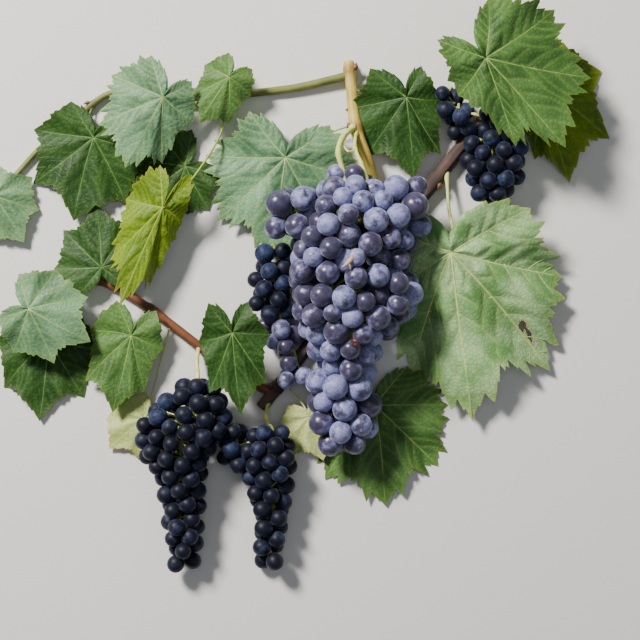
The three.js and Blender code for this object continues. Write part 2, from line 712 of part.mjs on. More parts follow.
function solidOf(geometry) {
  const bare = geometry.clone();
  bare.deleteAttribute("normal");
  bare.deleteAttribute("uv");
  const merged = mergeVertices(bare, 1e-4);
  return new wasm.Manifold(
    new wasm.Mesh({
      numProp: 3,
      vertProperties: new Float32Array(merged.attributes.position.array),
      triVerts: new Uint32Array(merged.index.array),
    }),
  );
}

// The largest body of a solid, whose sealed hollows are filled and whose loose scraps are dropped
function oneBody(solid) {
  return solid.decompose().reduce((kept, body) => (body.volume() > kept.volume() ? body : kept));
}

function geometryOf(solid) {
  const { vertProperties, triVerts } = solid.getMesh();
  const geometry = new THREE.BufferGeometry();
  geometry.setAttribute("position", new THREE.Float32BufferAttribute(Array.from(vertProperties), 3));
  geometry.setIndex(Array.from(triVerts));
  geometry.computeVertexNormals();
  return geometry;
}

const vine = new THREE.Group();
vine.position.set(-BRANCH_MIDDLE[0], -BRANCH_MIDDLE[1], 0);

function addPiece(name, solid, colour, roughness) {
  const look = { color: colour, roughness, metalness: 0, flatShading: true };
  const mesh = new THREE.Mesh(geometryOf(oneBody(solid)), new THREE.MeshStandardMaterial(look));
  mesh.name = name;
  vine.add(mesh);
}

const fatCanes = []; // the canes with the gap round them
const caneBeads = [];
for (const [name, cane] of Object.entries(canes)) {
  let solid = solidOf(limbAlong(cane.line, ringShares(cane), cane.radiusAt, LIMB_SIDES));
  for (const other of fatCanes) solid = solid.subtract(other);
  addPiece(name, solid, cane.colour, 0.75);
  const longer = (share) => {
    const more = share === 0 ? -GAP : share === 1 ? GAP : 0;
    return cane.line(share).addScaledVector(directionAt(cane.line, share), more);
  };
  const fatRadiusAt = (share) => cane.radiusAt(share) + GAP;
  fatCanes.push(solidOf(limbAlong(longer, ringShares(cane), fatRadiusAt, LIMB_SIDES)));
  for (const share of evenShares(Math.round(cane.length / BEAD_SPACING))) {
    caneBeads.push({ at: cane.line(share), radius: cane.radiusAt(share) + GAP });
  }
}

const fatBlades = []; // the blades with the gap over and under them
const leafFrames = Object.fromEntries(Object.entries(LEAVES).map(([name, spec]) => [name, leafFrame(spec)]));
for (const [name, frame] of Object.entries(leafFrames)) {
  let solid = solidOf(bladeGeometry(frame)).add(solidOf(leafStalkGeometry(frame)));
  for (const cane of fatCanes) solid = solid.subtract(cane);
  addPiece(name, solid, frame.spec.colour, 0.6);
  fatBlades.push(solidOf(bladeGeometry({ ...frame, thickness: frame.thickness + 2 * GAP })));
}

const placed = [];
for (const [name, bunch] of Object.entries(BUNCHES)) {
  const berries = berriesOf(bunch, caneBeads, Object.values(leafFrames), placed);
  placed.push(...berries);
  const parts = [
    ...bunch.lobes.map(({ stations, berry }) => coreGeometry(stations, berry * CORE_SINK)),
    ...berries.map(berryGeometry),
    ...bunch.stalks.map(({ from, path, radius }) => stalkAlong(from, path, () => radius, STALK_SIDES)),
  ];
  let solid = wasm.Manifold.union(parts.map(solidOf));
  for (const cut of [...fatCanes, ...fatBlades]) solid = solid.subtract(cut);
  addPiece(name, solid, bunch.colour, 0.45);
}

export default vine;
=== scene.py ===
"""A cut fruiting branch of grapevine on a pale floor, seen from straight above.

The tables and methods work in millimetres on the sheet that the branch lies on: X across, Y towards the top
of its shoot, Z up from the floor. ``to_row`` takes such points to the row's frame, in metres.
"""
from __future__ import annotations

import logging
import math
from dataclasses import dataclass
from enum import Enum
from typing import Any, Callable, Iterable, Sequence

import bpy
import numpy as np
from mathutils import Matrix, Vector

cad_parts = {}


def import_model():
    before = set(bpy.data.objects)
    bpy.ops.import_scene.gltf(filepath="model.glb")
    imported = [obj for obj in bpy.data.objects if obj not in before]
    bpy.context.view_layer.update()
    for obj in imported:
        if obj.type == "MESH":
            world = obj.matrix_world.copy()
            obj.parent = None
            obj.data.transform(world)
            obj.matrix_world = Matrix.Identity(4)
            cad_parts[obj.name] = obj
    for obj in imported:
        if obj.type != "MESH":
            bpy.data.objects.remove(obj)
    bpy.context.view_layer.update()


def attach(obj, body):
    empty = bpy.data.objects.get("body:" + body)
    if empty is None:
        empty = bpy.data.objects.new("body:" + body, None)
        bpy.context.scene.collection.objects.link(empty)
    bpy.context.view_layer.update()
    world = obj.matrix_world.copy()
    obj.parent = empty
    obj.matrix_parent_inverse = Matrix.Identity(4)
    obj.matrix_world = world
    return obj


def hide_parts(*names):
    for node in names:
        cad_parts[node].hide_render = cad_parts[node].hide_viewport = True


LOG = logging.getLogger("grapevine")
Array = np.ndarray
Colour = tuple[float, float, float]

MM = 0.001
BRANCH_MIDDLE = np.array([-23.6, 24.6, 0.0])  # the sheet's point where the row has its origin
UP = np.array([0.0, 0.0, 1.0])
ASIDE = UP + 0.01  # a way that no small thing points along exactly
GAP = 0.35  # that berries keep from canes and blades
LIFT = 0.1  # of a blade or a berry that lies on the floor
OVER_FLOOR = 0.02  # under which no point of a small thing goes
MERGED = 1e-5  # how near two vertices of a rolled sheet are one
TINY = 1e-9  # keeps a length that is divided by from being 0
GOLDEN_ANGLE = math.pi * (3 - math.sqrt(5))

# The noise's rule
HASH = np.array([12.9898, 78.233, 37.719])
HASH_SIZE = 43758.5453
SEEDS_APART = 91.7

# The leaf's rule: lobe tips and bays as degrees from the midrib and reach as a share of the length
LOBES = ((0, 1), (22, 0.76), (40, 0.9), (62, 0.69), (84, 0.74), (108, 0.56), (134, 0.53), (180, 0.08))
BLADE_THICKNESS = 0.02
LEAF_STALK_RADIUS = 0.016
LEAF_BULGE = 0.055
LEAF_WAVE = 0.03
TOOTH_DEPTH = 0.08
TOOTH_NOTCH = 0.72
# A tooth from its point to the next one, with a small tooth on its long side: share and height
TOOTH = (
    (0, 0.5), (0.08, 0.34), (0.2, 0.14), (0.34, -0.13), (0.4, 0.03), (0.54, -0.2), (0.66, -0.42),
    (TOOTH_NOTCH, -0.5), (0.86, 0.1),
)
LOBE_POINT = 1.1
LOBE_DIFFERENCE = 0.14

# The bunch's rule
BERRY_PRESS = 0.97  # how close two berries sit, as a share of touching
REACH_INNER, REACH_LOW, REACH_HIGH = 0.75, 0.95, 1.1  # where they stay, as shares of their lobe's outline
CORE_SINK = 1.6  # berry radii from a lobe's ends to where its stalks fork
SLICES = 240
RELAX_ROUNDS = 150
RELAX_STEP = 0.35
LOOSE_ROUNDS = 70  # more of them, with the berries free of their outline, so that none is squeezed
BEAD_SPACING = 3  # between the points of a cane that berries are kept off
MEETS = 0.6  # how deep a berry may still press on a cane before it is left out
ALL_SHADE_PAINTED, NONE_SHADE_PAINTED = -1000, 1000  # for the Y over which a bunch's berries wear the darker skin that is painted shade

# The cane's rule
JOINT_SWELLING = 0.24
JOINT_LENGTH = 5


class Bark(Enum):
    """How a cane's outside has ripened."""

    OLD = "old"
    RIPE = "ripe"
    STRAW = "straw"
    GREEN = "green"


class Tone(Enum):
    """The greens that the leaves are dealt, three of them with painted light and shade."""

    GREY = "grey"
    # the leaf's own pale green made paler still, painted sunlight
    SUNLIT = "sunlit"
    # a darker green, painted shade for leaves that lie partly in shade
    MIDDLE = "middle"
    # a darker green still, painted shade for leaves that lie in deep shade
    DEEP_SHADE = "deep"
    YELLOW = "yellow"
    PALE = "pale"


@dataclass(frozen=True)
class CaneSpec:
    """A cane's path, its radius at both ends, its joints as shares of its length and its bark."""

    path: tuple
    radius: tuple[float, float]
    joints: tuple
    bark: Bark


@dataclass(frozen=True)
class LobeSpec:
    """Part of a bunch.

    Its stations each give X, Y, Z, half width and half depth. Its berries have a mean radius and a count.
    """

    stations: tuple
    berry: float
    count: int


@dataclass(frozen=True)
class StalkSpec:
    """A stalk's points and radius, and the cane and share that it starts from, where it has one."""

    path: tuple
    radius: float
    start: tuple | None = None


@dataclass(frozen=True)
class BunchSpec:
    """A bunch: its lobes and stalks, the spread of its berries' radii, its seed and how dusty its bloom is.

    Its berries are modelled with a number of segments, and those over a given Y wear a darker copy of the
    skin, which is painted shade.
    """

    lobes: tuple
    stalks: tuple
    spread: float
    seed: int
    dust: float
    segments: int = 16
    # by default all of a bunch's berries wear the darker skin, painted shade for a bunch that lies in shade
    shade_painted_above: float = ALL_SHADE_PAINTED


@dataclass(frozen=True)
class LeafSpec:
    """A leaf by the leaf's rule.

    It has its junction with the stalk, its length, the degrees that its midrib heads and dips by and that its
    two halves fold by, its droop, its teeth between a tip and a bay, the cane and share that its stalk starts
    from, the points that the stalk goes by, its seed and its tone. On some, the halves are narrower, a spread
    under 1 draws the lobes together, and spots are given as X, Y and radius.
    """

    at: tuple
    length: float
    heading: float
    tip: float
    fold: tuple
    droop: float
    teeth: int
    start: tuple
    by: tuple
    seed: int
    tone: Tone
    width: tuple = (1.0, 1.0)
    spread: float = 1.0
    spots: tuple = ()


CANES: dict[str, CaneSpec] = {
    "old_cane": CaneSpec(
        (
            (143, 174, 6.1), (110, 135, 6.1), (76, 92, 6), (35, 41, 5.9), (4, -1, 5.8), (-23, -38, 5.6),
            (-43, -64, 5.4),
        ),
        (5, 4.3), (0.09, 0.3, 0.5, 0.72, 0.9), Bark.OLD,
    ),
    "fruiting_shoot": CaneSpec(
        ((50, 59, 6), (42, 86, 12), (34, 115, 13.5), (26, 139, 12.5), (23, 166, 8.5), (21, 188, 4.9)),
        (4.9, 3.9), (0.12, 0.6, 0.94), Bark.STRAW,
    ),
    "left_cane": CaneSpec(
        (
            (-34, -53, 5), (-62, -39, 4.6), (-84, -22, 4.3), (-122, 7, 4.1), (-154, 26, 3.9),
            (-182, 31, 3.7), (-207, 21, 3.2),
        ),
        (3.7, 2.6), (0.2, 0.5, 0.72, 0.97), Bark.RIPE,
    ),
    "hanging_shoot": CaneSpec(
        (
            (22, 178, 6), (-18, 169, 4), (-60, 164, 3.8), (-95, 158, 3.7), (-126, 164, 3.6), (-152, 165, 3.4),
            (-172, 152, 3.3), (-204, 125, 3), (-228, 98, 2.5),
        ),
        (3.1, 2), (0.3, 0.44, 0.72, 0.98), Bark.GREEN,
    ),
}

BUNCHES: dict[str, BunchSpec] = {
    "main_bunch": BunchSpec(
        (
            LobeSpec(
                (
                    (19, 109, 46, 8, 8), (18, 100, 44, 13, 15), (22, 92, 41, 24, 24), (27, 85, 39, 37, 32),
                    (24, 72, 38, 46, 37), (22, 42, 38, 45, 36), (25, 22, 37, 47, 36), (24, 4, 35, 42, 34),
                    (18, -14, 32, 29, 29), (17, -33, 29, 20, 22),
                ),
                7.9, 108,
            ),
            LobeSpec(
                (
                    (17, -19, 29, 16, 16), (16, -34, 28, 23, 24), (17, -60, 25, 24, 23),
                    (17, -80, 23, 23, 22), (18, -95, 22, 10, 10),
                ),
                8.8, 24,
            ),
            LobeSpec(
                (
                    (-14, 93, 40, 8, 8), (-18, 84, 40, 17, 16), (-19, 70, 39, 17, 16),
                    (-14, 59, 38, 8, 8),
                ),
                8.4, 8,
            ),
            LobeSpec(
                (
                    (54, 100, 40, 8, 8), (59, 90, 39, 18, 17), (61, 74, 38, 18, 17), (56, 61, 38, 8, 8),
                ),
                8.2, 9,
            ),
        ),
        (
            StalkSpec(
                ((16, 129, 34), (13, 117, 46), (18, 98, 43), (23, 62, 39)), 2.1, ("fruiting_shoot", 0.6),
            ),
            StalkSpec(
                ((25, 122, 33), (29, 110, 46), (33, 97, 45), (28, 80, 40)), 1.5, ("fruiting_shoot", 0.57),
            ),
            StalkSpec(((15, 126, 37), (20, 119, 41), (26, 121, 35)), 0.9),
            StalkSpec(((23, 62, 39), (24, 4, 35), (16, -38, 28), (17, -78, 23)), 2.6),
            StalkSpec(((23, 68, 38), (2, 77, 39), (-18, 78, 39)), 1.3),
            StalkSpec(((27, 70, 39), (42, 78, 39), (60, 80, 38)), 1.3),
        ),
        1.7, 11, 0.58, segments=24, shade_painted_above=NONE_SHADE_PAINTED,
    ),
    "shaded_wing": BunchSpec(
        (
            LobeSpec(
                (
                    (-33, 54, 16, 8, 8), (-35, 44, 17, 14, 12), (-35, 26, 17, 16, 13),
                    (-34, 10, 16, 16, 13), (-30, -4, 14, 15, 12), (-25, -17, 13, 13, 11),
                    (-20, -31, 11, 11, 10), (-16, -43, 10, 6, 6),
                ),
                6.7, 26,
            ),
        ),
        (StalkSpec(((-6, 14, 4), (-25, 20, 8), (-34, 12, 16)), 1.3, ("old_cane", 0.6)),),
        # its berries over Y 4 wear the darker skin, painted shade where the main bunch and a leaf shade them
        1.2, 23, 0.5, shade_painted_above=4,
    ),
    "upper_bunch": BunchSpec(
        (
            LobeSpec(
                (
                    (127, 154, 16, 8, 8), (127, 144, 16, 18, 13), (127, 128, 17, 25, 15),
                    (126, 110, 18, 25, 16), (124, 96, 17, 18, 14), (121, 85, 16, 7, 7),
                ),
                6.4, 32,
            ),
            LobeSpec(
                (
                    (90, 166, 16, 7, 7), (96, 155, 16, 14, 11), (101, 142, 16, 12, 11),
                    (105, 132, 15, 6, 6),
                ),
                6.2, 8,
            ),
        ),
        (
            StalkSpec(((131, 160, 16), (129, 150, 16), (126, 128, 17)), 1.4, ("old_cane", 0.06)),
            StalkSpec(((127, 142, 16), (112, 148, 17), (99, 150, 16)), 1.1),
        ),
        0.8, 37, 0.5,
    ),
    "low_left_bunch": BunchSpec(
        (
            LobeSpec(
                (
                    (-85, -42, 19, 8, 8), (-88, -52, 21, 19, 17), (-93, -64, 22, 30, 20),
                    (-98, -78, 22, 34, 21), (-103, -94, 21, 28, 20), (-101, -110, 19, 19, 18),
                    (-99, -134, 17, 16, 15), (-98, -158, 15, 14, 13), (-98, -180, 13, 8, 8),
                ),
                6.4, 75,
            ),
        ),
        (StalkSpec(((-89, -30, 12), (-88, -42, 18), (-92, -70, 21)), 1.5, ("left_cane", 0.35)),),
        0.8, 41, 0.22,
    ),
    "low_right_bunch": BunchSpec(
        (
            LobeSpec(
                (
                    (-36, -76, 16, 8, 8), (-37, -86, 18, 18, 15), (-37, -100, 18, 21, 17),
                    (-36, -118, 16, 18, 15), (-36, -140, 15, 15, 13), (-37, -162, 13, 12, 11),
                    (-37, -180, 11, 7, 7),
                ),
                6.4, 39,
            ),
            LobeSpec(
                (
                    (-60, -75, 14, 7, 7), (-62, -84, 15, 14, 12), (-61, -100, 14, 14, 12),
                    (-57, -110, 13, 6, 6),
                ),
                6.2, 8,
            ),
        ),
        (
            StalkSpec(((-39, -70, 14), (-37, -80, 17), (-37, -100, 17)), 1.5, ("old_cane", 0.97)),
            StalkSpec(((-37, -86, 17), (-50, -88, 16), (-62, -92, 15)), 1.1),
        ),
        0.8, 53, 0.26,
    ),
}

LEAVES: dict[str, LeafSpec] = {
    "left_leaf": LeafSpec(
        (-25, 117, 15), 76, -98, -3, (8, 4), 0.05, 2,
        ("fruiting_shoot", 0.62), ((8, 136, 9), (-12, 126, 8)), 1, Tone.GREY,
    ),
    "right_leaf": LeafSpec(
        (93, 48, 34), 125, -82, -9, (8, 27), 0.04, 2,
        ("old_cane", 0.27), ((93, 80, 16), (95, 63, 27)), 2, Tone.SUNLIT, (1, 0.8), 0.82,
        ((146, -4, 3), (151, -11, 2.2), (155, -17, 1.5)),
    ),
    "upper_right_leaf": LeafSpec(
        (116, 183, 52), 84, -48, -2, (12, 10), 0.03, 2,
        ("old_cane", 0.02), ((130, 178, 20), (120, 185, 40)), 3, Tone.MIDDLE, (1, 0.5),
    ),
    "edge_leaf": LeafSpec(
        (158, 172, 9), 76, -72, -3, (5, 5), 0.03, 1,
        ("old_cane", 0.05), ((149, 167, 4), (155, 171, 6)), 4, Tone.YELLOW, (0.85, 0.42),
    ),
    "behind_leaf": LeafSpec(
        (62, 160, 20), 60, -84, -8, (8, 8), 0.03, 1,
        ("fruiting_shoot", 0.8), ((40, 164, 13), (52, 167, 18)), 5, Tone.DEEP_SHADE, (0.6, 1),
    ),
    "top_leaf": LeafSpec(
        (-65, 174, 24), 40, -124, -6, (14, 18), 0.04, 1,
        ("hanging_shoot", 0.24), ((-59, 169, 11), (-62, 173, 18)), 6, Tone.MIDDLE, (0.75, 0.75),
    ),
    "upper_left_leaf": LeafSpec(
        (-112, 159, 28), 58, -119, -5, (20, 10), 0.04, 2,
        ("hanging_shoot", 0.36), ((-97, 161, 14), (-105, 161, 22)), 7, Tone.GREY, (0.65, 1),
    ),
    "yellow_leaf": LeafSpec(
        (-112, 80, 30), 76, -114, -4, (28, 20), 0.02, 2,
        ("hanging_shoot", 0.28), ((-72, 134, 14), (-88, 106, 22), (-103, 88, 28)), 8, Tone.YELLOW,
        (0.34, 0.55),
    ),
    "shade_leaf": LeafSpec(
        (-98, 112, 4), 50, -146, -1, (2, 2), 0.02, 1,
        ("hanging_shoot", 0.43), ((-103, 146, 3), (-99, 128, 3)), 9, Tone.DEEP_SHADE,
    ),
    "far_leaf": LeafSpec(
        (-164, 132, 10), 62, -104, -3, (4, 4), 0.03, 1,
        ("hanging_shoot", 0.72), ((-168, 146, 7), (-165, 139, 8)), 10, Tone.DEEP_SHADE,
    ),
    "left_edge_leaf": LeafSpec(
        (-236, 90, 12), 40, -58, -6, (8, 8), 0.05, 1,
        ("hanging_shoot", 0.97), ((-233, 98, 8), (-235, 94, 11)), 11, Tone.GREY,
    ),
    "middle_left_leaf": LeafSpec(
        (-158, 38, 12), 48, 96, -8, (6, 6), 0.03, 1,
        ("left_cane", 0.7), ((-156, 31, 8), (-157, 34, 10)), 12, Tone.DEEP_SHADE,
    ),
    "cane_leaf": LeafSpec(
        (-136, -11, 17), 58, -104, -4, (6, 6), 0.03, 1,
        ("left_cane", 0.5), ((-124, 0, 10), (-130, -5, 14)), 13, Tone.MIDDLE, (0.6, 0.75),
    ),
    "fold_leaf": LeafSpec(
        (-208, 8, 28), 50, -28, -2, (10, 14), 0.03, 1,
        ("left_cane", 0.97), ((-212, 15, 10), (-211, 12, 21)), 14, Tone.GREY,
    ),
    "low_edge_leaf": LeafSpec(
        (-198, -14, 4), 60, -96, -1, (2, 2), 0.02, 1,
        ("left_cane", 0.93), ((-200, 18, 3), (-199, 0, 3)), 15, Tone.DEEP_SHADE, (0.9, 0.9),
    ),
    "middle_leaf": LeafSpec(
        (-62, -9, 40), 58, -84, -2, (6, 6), 0.02, 1,
        ("left_cane", 0.27), ((-71, -21, 22), (-66, -13, 33)), 16, Tone.DEEP_SHADE, (0.62, 0.62),
    ),
    "under_leaf": LeafSpec(
        (40, -62, 4), 74, -84, -1, (2, 2), 0.02, 2,
        ("old_cane", 0.6), ((16, -16, 3), (34, -44, 3)), 17, Tone.MIDDLE,
    ),
    "pale_leaf_left": LeafSpec(
        (-128, -72, 6), 34, -140, -3, (4, 4), 0.05, 1,
        ("left_cane", 0.44), ((-114, -22, 3), (-122, -52, 2.5)), 18, Tone.PALE,
    ),
    "pale_leaf_middle": LeafSpec(
        (-8, -70, 10), 34, -72, -6, (5, 5), 0.05, 1,
        ("old_cane", 0.88), ((-20, -52, 6), (-12, -62, 8)), 19, Tone.PALE,
    ),
}


# Points, lines and noise


def to_row(points: Array) -> Array:
    """Takes points from the sheet, in millimetres, to the row's frame in metres."""
    return (np.asarray(points, float) - BRANCH_MIDDLE) * MM


class Draws:
    """Seeded draws from 0 to 1."""

    FACTOR, STEP, STATES = 1664525, 1013904223, 4294967296

    def __init__(self, seed: int) -> None:
        """Starts the draws at a seed."""
        self.state = seed

    def __call__(self) -> float:
        """Returns the next draw."""
        self.state = (self.state * self.FACTOR + self.STEP) % self.STATES
        return self.state / self.STATES


def noise(points: Array, size: float, seed: int = 0) -> Array:
    """Smooth noise over points.

    Args:
        points: the places, with their three coordinates last.
        size: the distance over which the noise changes.
        seed: picks one noise of many.

    Returns:
        A number from -1 to 1 for each place.
    """
    place = points / size + SEEDS_APART * seed
    cell = np.floor(place)
    f = place - cell
    f = f * f * (3 - 2 * f)
    total = np.zeros(points.shape[:-1])
    for corner in np.ndindex(2, 2, 2):
        hashed = np.modf(np.sin((cell + corner) @ HASH) * HASH_SIZE)[0]
        total += hashed * np.prod(np.where(corner, f, 1 - f), axis=-1)
    return total


def unit(vectors: Array) -> Array:
    """Returns vectors at length one."""
    return vectors / np.maximum(np.linalg.norm(vectors, axis=-1, keepdims=True), TINY)


def hump(shares: Array, place: Array | float, width: float) -> Array:
    """Returns 1 at a place, falling smoothly to 0 on both sides, mostly within a width of it."""
    return np.exp(-(((shares - place) / width) ** 2))


class Line:
    """A smooth line through points, read by shares from 0 to 1."""

    NEAR = 0.004  # share to each side that a direction is taken over
    MEASURED = 61  # points that the length is measured over

    def __init__(self, points: Sequence) -> None:
        """Starts a line.

        Args:
            points: those that it passes, its ends first and last.
        """
        p = np.array(points, float)
        self.spans = len(p) - 1
        self.all = np.vstack([2 * p[0] - p[1], p, 2 * p[-1] - p[-2]])

    def at(self, shares: Array | float) -> Array:
        """Reads the line.

        Args:
            shares: where to read it.

        Returns:
            Its points there.
        """
        place = np.clip(np.asarray(shares, float), 0, 1) * self.spans
        span = np.minimum(place.astype(int), self.spans - 1)
        f = (place - span)[..., None]
        a, b, c, d = (self.all[span + k] for k in range(4))
        return (
            a * (-0.5 * f + f**2 - 0.5 * f**3)
            + b * (1 - 2.5 * f**2 + 1.5 * f**3)
            + c * (0.5 * f + 2 * f**2 - 1.5 * f**3)
            + d * (-0.5 * f**2 + 0.5 * f**3)
        )

    def direction(self, shares: Array | float) -> Array:
        """Returns the line's directions at shares."""
        shares = np.asarray(shares, float)
        return unit(self.at(shares + self.NEAR) - self.at(shares - self.NEAR))

    def length(self) -> float:
        """Returns the line's length."""
        steps = np.diff(self.at(np.linspace(0, 1, self.MEASURED)), axis=0)
        return float(np.linalg.norm(steps, axis=1).sum())

    def sides(self, shares: Array) -> tuple[Array, Array]:
        """Reads the directions across the line.

        Args:
            shares: where to read them.

        Returns:
            The level ones and the rising ones.
        """
        along = self.direction(shares)
        level = unit(np.cross(along, UP))
        return level, np.cross(level, along)


# Meshes


@dataclass
class Shape:
    """Points and faces before they are a piece."""

    points: Array
    faces: list[tuple[int, ...]]
    dress: int = 0  # which of its piece's finishes it wears

    @staticmethod
    def joined(shapes: Iterable["Shape"]) -> "Shape":
        """Joins shapes.

        Args:
            shapes: the shapes.

        Returns:
            All of them as one.
        """
        points, faces, base = [], [], 0
        for shape in shapes:
            points.append(shape.points)
            faces += [tuple(i + base for i in face) for face in shape.faces]
            base += len(shape.points)
        return Shape(np.vstack(points), faces)

    @staticmethod
    def tube(line: Line, radius: Callable[[Array], Array], sides: int, rings: int) -> "Shape":
        """Makes a closed tube along a line.

        Args:
            line: its middle line.
            radius: takes shares of the line to the tube's radius there.
            sides: faces round the tube.
            rings: rings of faces along it.

        Returns:
            The tube.
        """
        shares = np.linspace(0, 1, rings + 1)
        level, rise = line.sides(shares)
        turn = 2 * np.pi * np.arange(sides) / sides
        middle = line.at(shares)
        r = np.broadcast_to(radius(shares), shares.shape)[:, None, None]
        ring = np.cos(turn)[None, :, None] * level[:, None] + np.sin(turn)[None, :, None] * rise[:, None]
        points = np.vstack([(middle[:, None] + r * ring).reshape(-1, 3), middle[0], middle[-1]])
        faces: list[tuple[int, ...]] = []
        for j in range(rings):
            for i in range(sides):
                k = (i + 1) % sides
                faces.append((j * sides + i, (j + 1) * sides + i, (j + 1) * sides + k, j * sides + k))
        last = rings * sides
        for i in range(sides):
            k = (i + 1) % sides
            faces += [(len(points) - 2, i, k), (len(points) - 1, last + k, last + i)]
        return Shape(points, faces)

    def placed(self, at: Array, size: float, axis: Array, spin: float) -> "Shape":
        """Copies the shape to a place.

        Args:
            at: where its origin goes.
            size: how many times larger it gets.
            axis: the direction of its own Z there.
            spin: its turn about that, in radians.

        Returns:
            The copy.
        """
        across = unit(np.cross(axis, ASIDE))
        other = np.cross(axis, across)
        u = math.cos(spin) * across + math.sin(spin) * other
        turned = self.points @ np.array([u, np.cross(axis, u), axis])
        return Shape(at + size * turned, self.faces)


def alone(piece: bpy.types.Object) -> None:
    """Makes a piece the only one selected.

    Args:
        piece: the piece.
    """
    bpy.ops.object.select_all(action="DESELECT")
    piece.select_set(True)
    bpy.context.view_layer.objects.active = piece


def edit_all(operator: Callable[..., Any], **settings: Any) -> None:
    """Runs an edit mode operator on all of the active piece.

    Args:
        operator: the operator.
        **settings: its settings.
    """
    bpy.ops.object.mode_set(mode="EDIT")
    bpy.ops.mesh.select_all(action="SELECT")
    operator(**settings)
    bpy.ops.object.mode_set(mode="OBJECT")


def read_points(piece: bpy.types.Object) -> Array:
    """Reads a piece's vertices.

    Args:
        piece: the piece.

    Returns:
        Their places, as rows of three.
    """
    co = np.zeros(len(piece.data.vertices) * 3)
    piece.data.vertices.foreach_get("co", co)
    return co.reshape(-1, 3)


def write_points(piece: bpy.types.Object, points: Array) -> None:
    """Moves a piece's vertices."""
    piece.data.vertices.foreach_set("co", np.ascontiguousarray(points, float).ravel())
    piece.data.update()


def mark(piece: bpy.types.Object, name: str, values: Array) -> None:
    """Keeps one number for each vertex as an attribute that a finish reads."""
    attribute = piece.data.attributes.new(name, "FLOAT", "POINT")
    attribute.data.foreach_set("value", np.asarray(values, np.float32))


def from_shapes(name: str, shapes: list[Shape], finishes: Sequence[bpy.types.Material]) -> bpy.types.Object:
    """Joins shapes in sheet millimetres into one smooth piece.

    Args:
        name: the piece's name.
        shapes: the shapes, each with the number of the finish that it wears.
        finishes: the piece's finishes.

    Returns:
        The piece.
    """
    mesh = bpy.data.meshes.new(name)
    whole = Shape.joined(shapes)
    points = to_row(whole.points)
    points[:, 2] = np.maximum(points[:, 2], OVER_FLOOR * MM)
    mesh.from_pydata(points.tolist(), [], whole.faces)
    mesh.shade_smooth()
    for finish in finishes:
        mesh.materials.append(finish)
    worn = np.concatenate([np.full(len(shape.faces), shape.dress, np.int32) for shape in shapes])
    mesh.polygons.foreach_set("material_index", worn)
    piece = bpy.data.objects.new(name, mesh)
    bpy.context.scene.collection.objects.link(piece)
    return piece


def rolled_sheet(
    name: str, columns: int, rows: int, roll: Callable[[Array, Array], Array]
) -> bpy.types.Object:
    """Rolls a grid primitive onto a simple form, and merges the doubles that meet there.

    Args:
        name: the piece's name.
        columns: faces along the first share.
        rows: faces along the second share.
        roll: takes the two shares of every vertex to its place.

    Returns:
        The piece, alone and in object mode.
    """
    bpy.ops.object.select_all(action="DESELECT")
    bpy.ops.mesh.primitive_grid_add(x_subdivisions=columns, y_subdivisions=rows, size=1)
    piece = bpy.context.object
    piece.name = piece.data.name = name
    flat = read_points(piece) + 0.5
    write_points(piece, roll(flat[:, 0], flat[:, 1]))
    edit_all(bpy.ops.mesh.remove_doubles, threshold=MERGED)
    return piece


# Finishes


class Value:
    """A socket in an expression, whose operators add Math nodes."""

    def __init__(self, paint: "Paint", socket: bpy.types.NodeSocket) -> None:
        """Wraps a socket of a paint's nodes."""
        self.paint = paint
        self.socket = socket

    def math(self, operation: str, *others: Any) -> "Value":
        """Adds a Math node.

        Args:
            operation: what it does.
            *others: what it does that with, after this value.

        Returns:
            Its result.
        """
        values = [getattr(other, "socket", other) for other in (self, *others)]
        node = self.paint.node("ShaderNodeMath", {"operation": operation}, dict(enumerate(values)))
        return Value(self.paint, node.outputs[0])

    def __add__(self, other: Any) -> "Value":
        """Adds."""
        return self.math("ADD", other)

    def __mul__(self, other: Any) -> "Value":
        """Multiplies."""
        return self.math("MULTIPLY", other)

    def __sub__(self, other: Any) -> "Value":
        """Subtracts."""
        return self.math("SUBTRACT", other)

    def __rsub__(self, other: Any) -> "Value":
        """Subtracts from a number."""
        return (self * -1) + other

    __radd__ = __add__
    __rmul__ = __mul__

    def ramp(self, low: float, high: float) -> "Value":
        """Adds a smooth step.

        Args:
            low: the value up to which it gives 0.
            high: the value from which it gives 1.

        Returns:
            Its result.
        """
        sockets = {"Value": self.socket, "From Min": low, "From Max": high, "To Min": 0.0, "To Max": 1.0}
        node = self.paint.node("ShaderNodeMapRange", {"interpolation_type": "SMOOTHSTEP"}, sockets)
        return Value(self.paint, node.outputs[0])


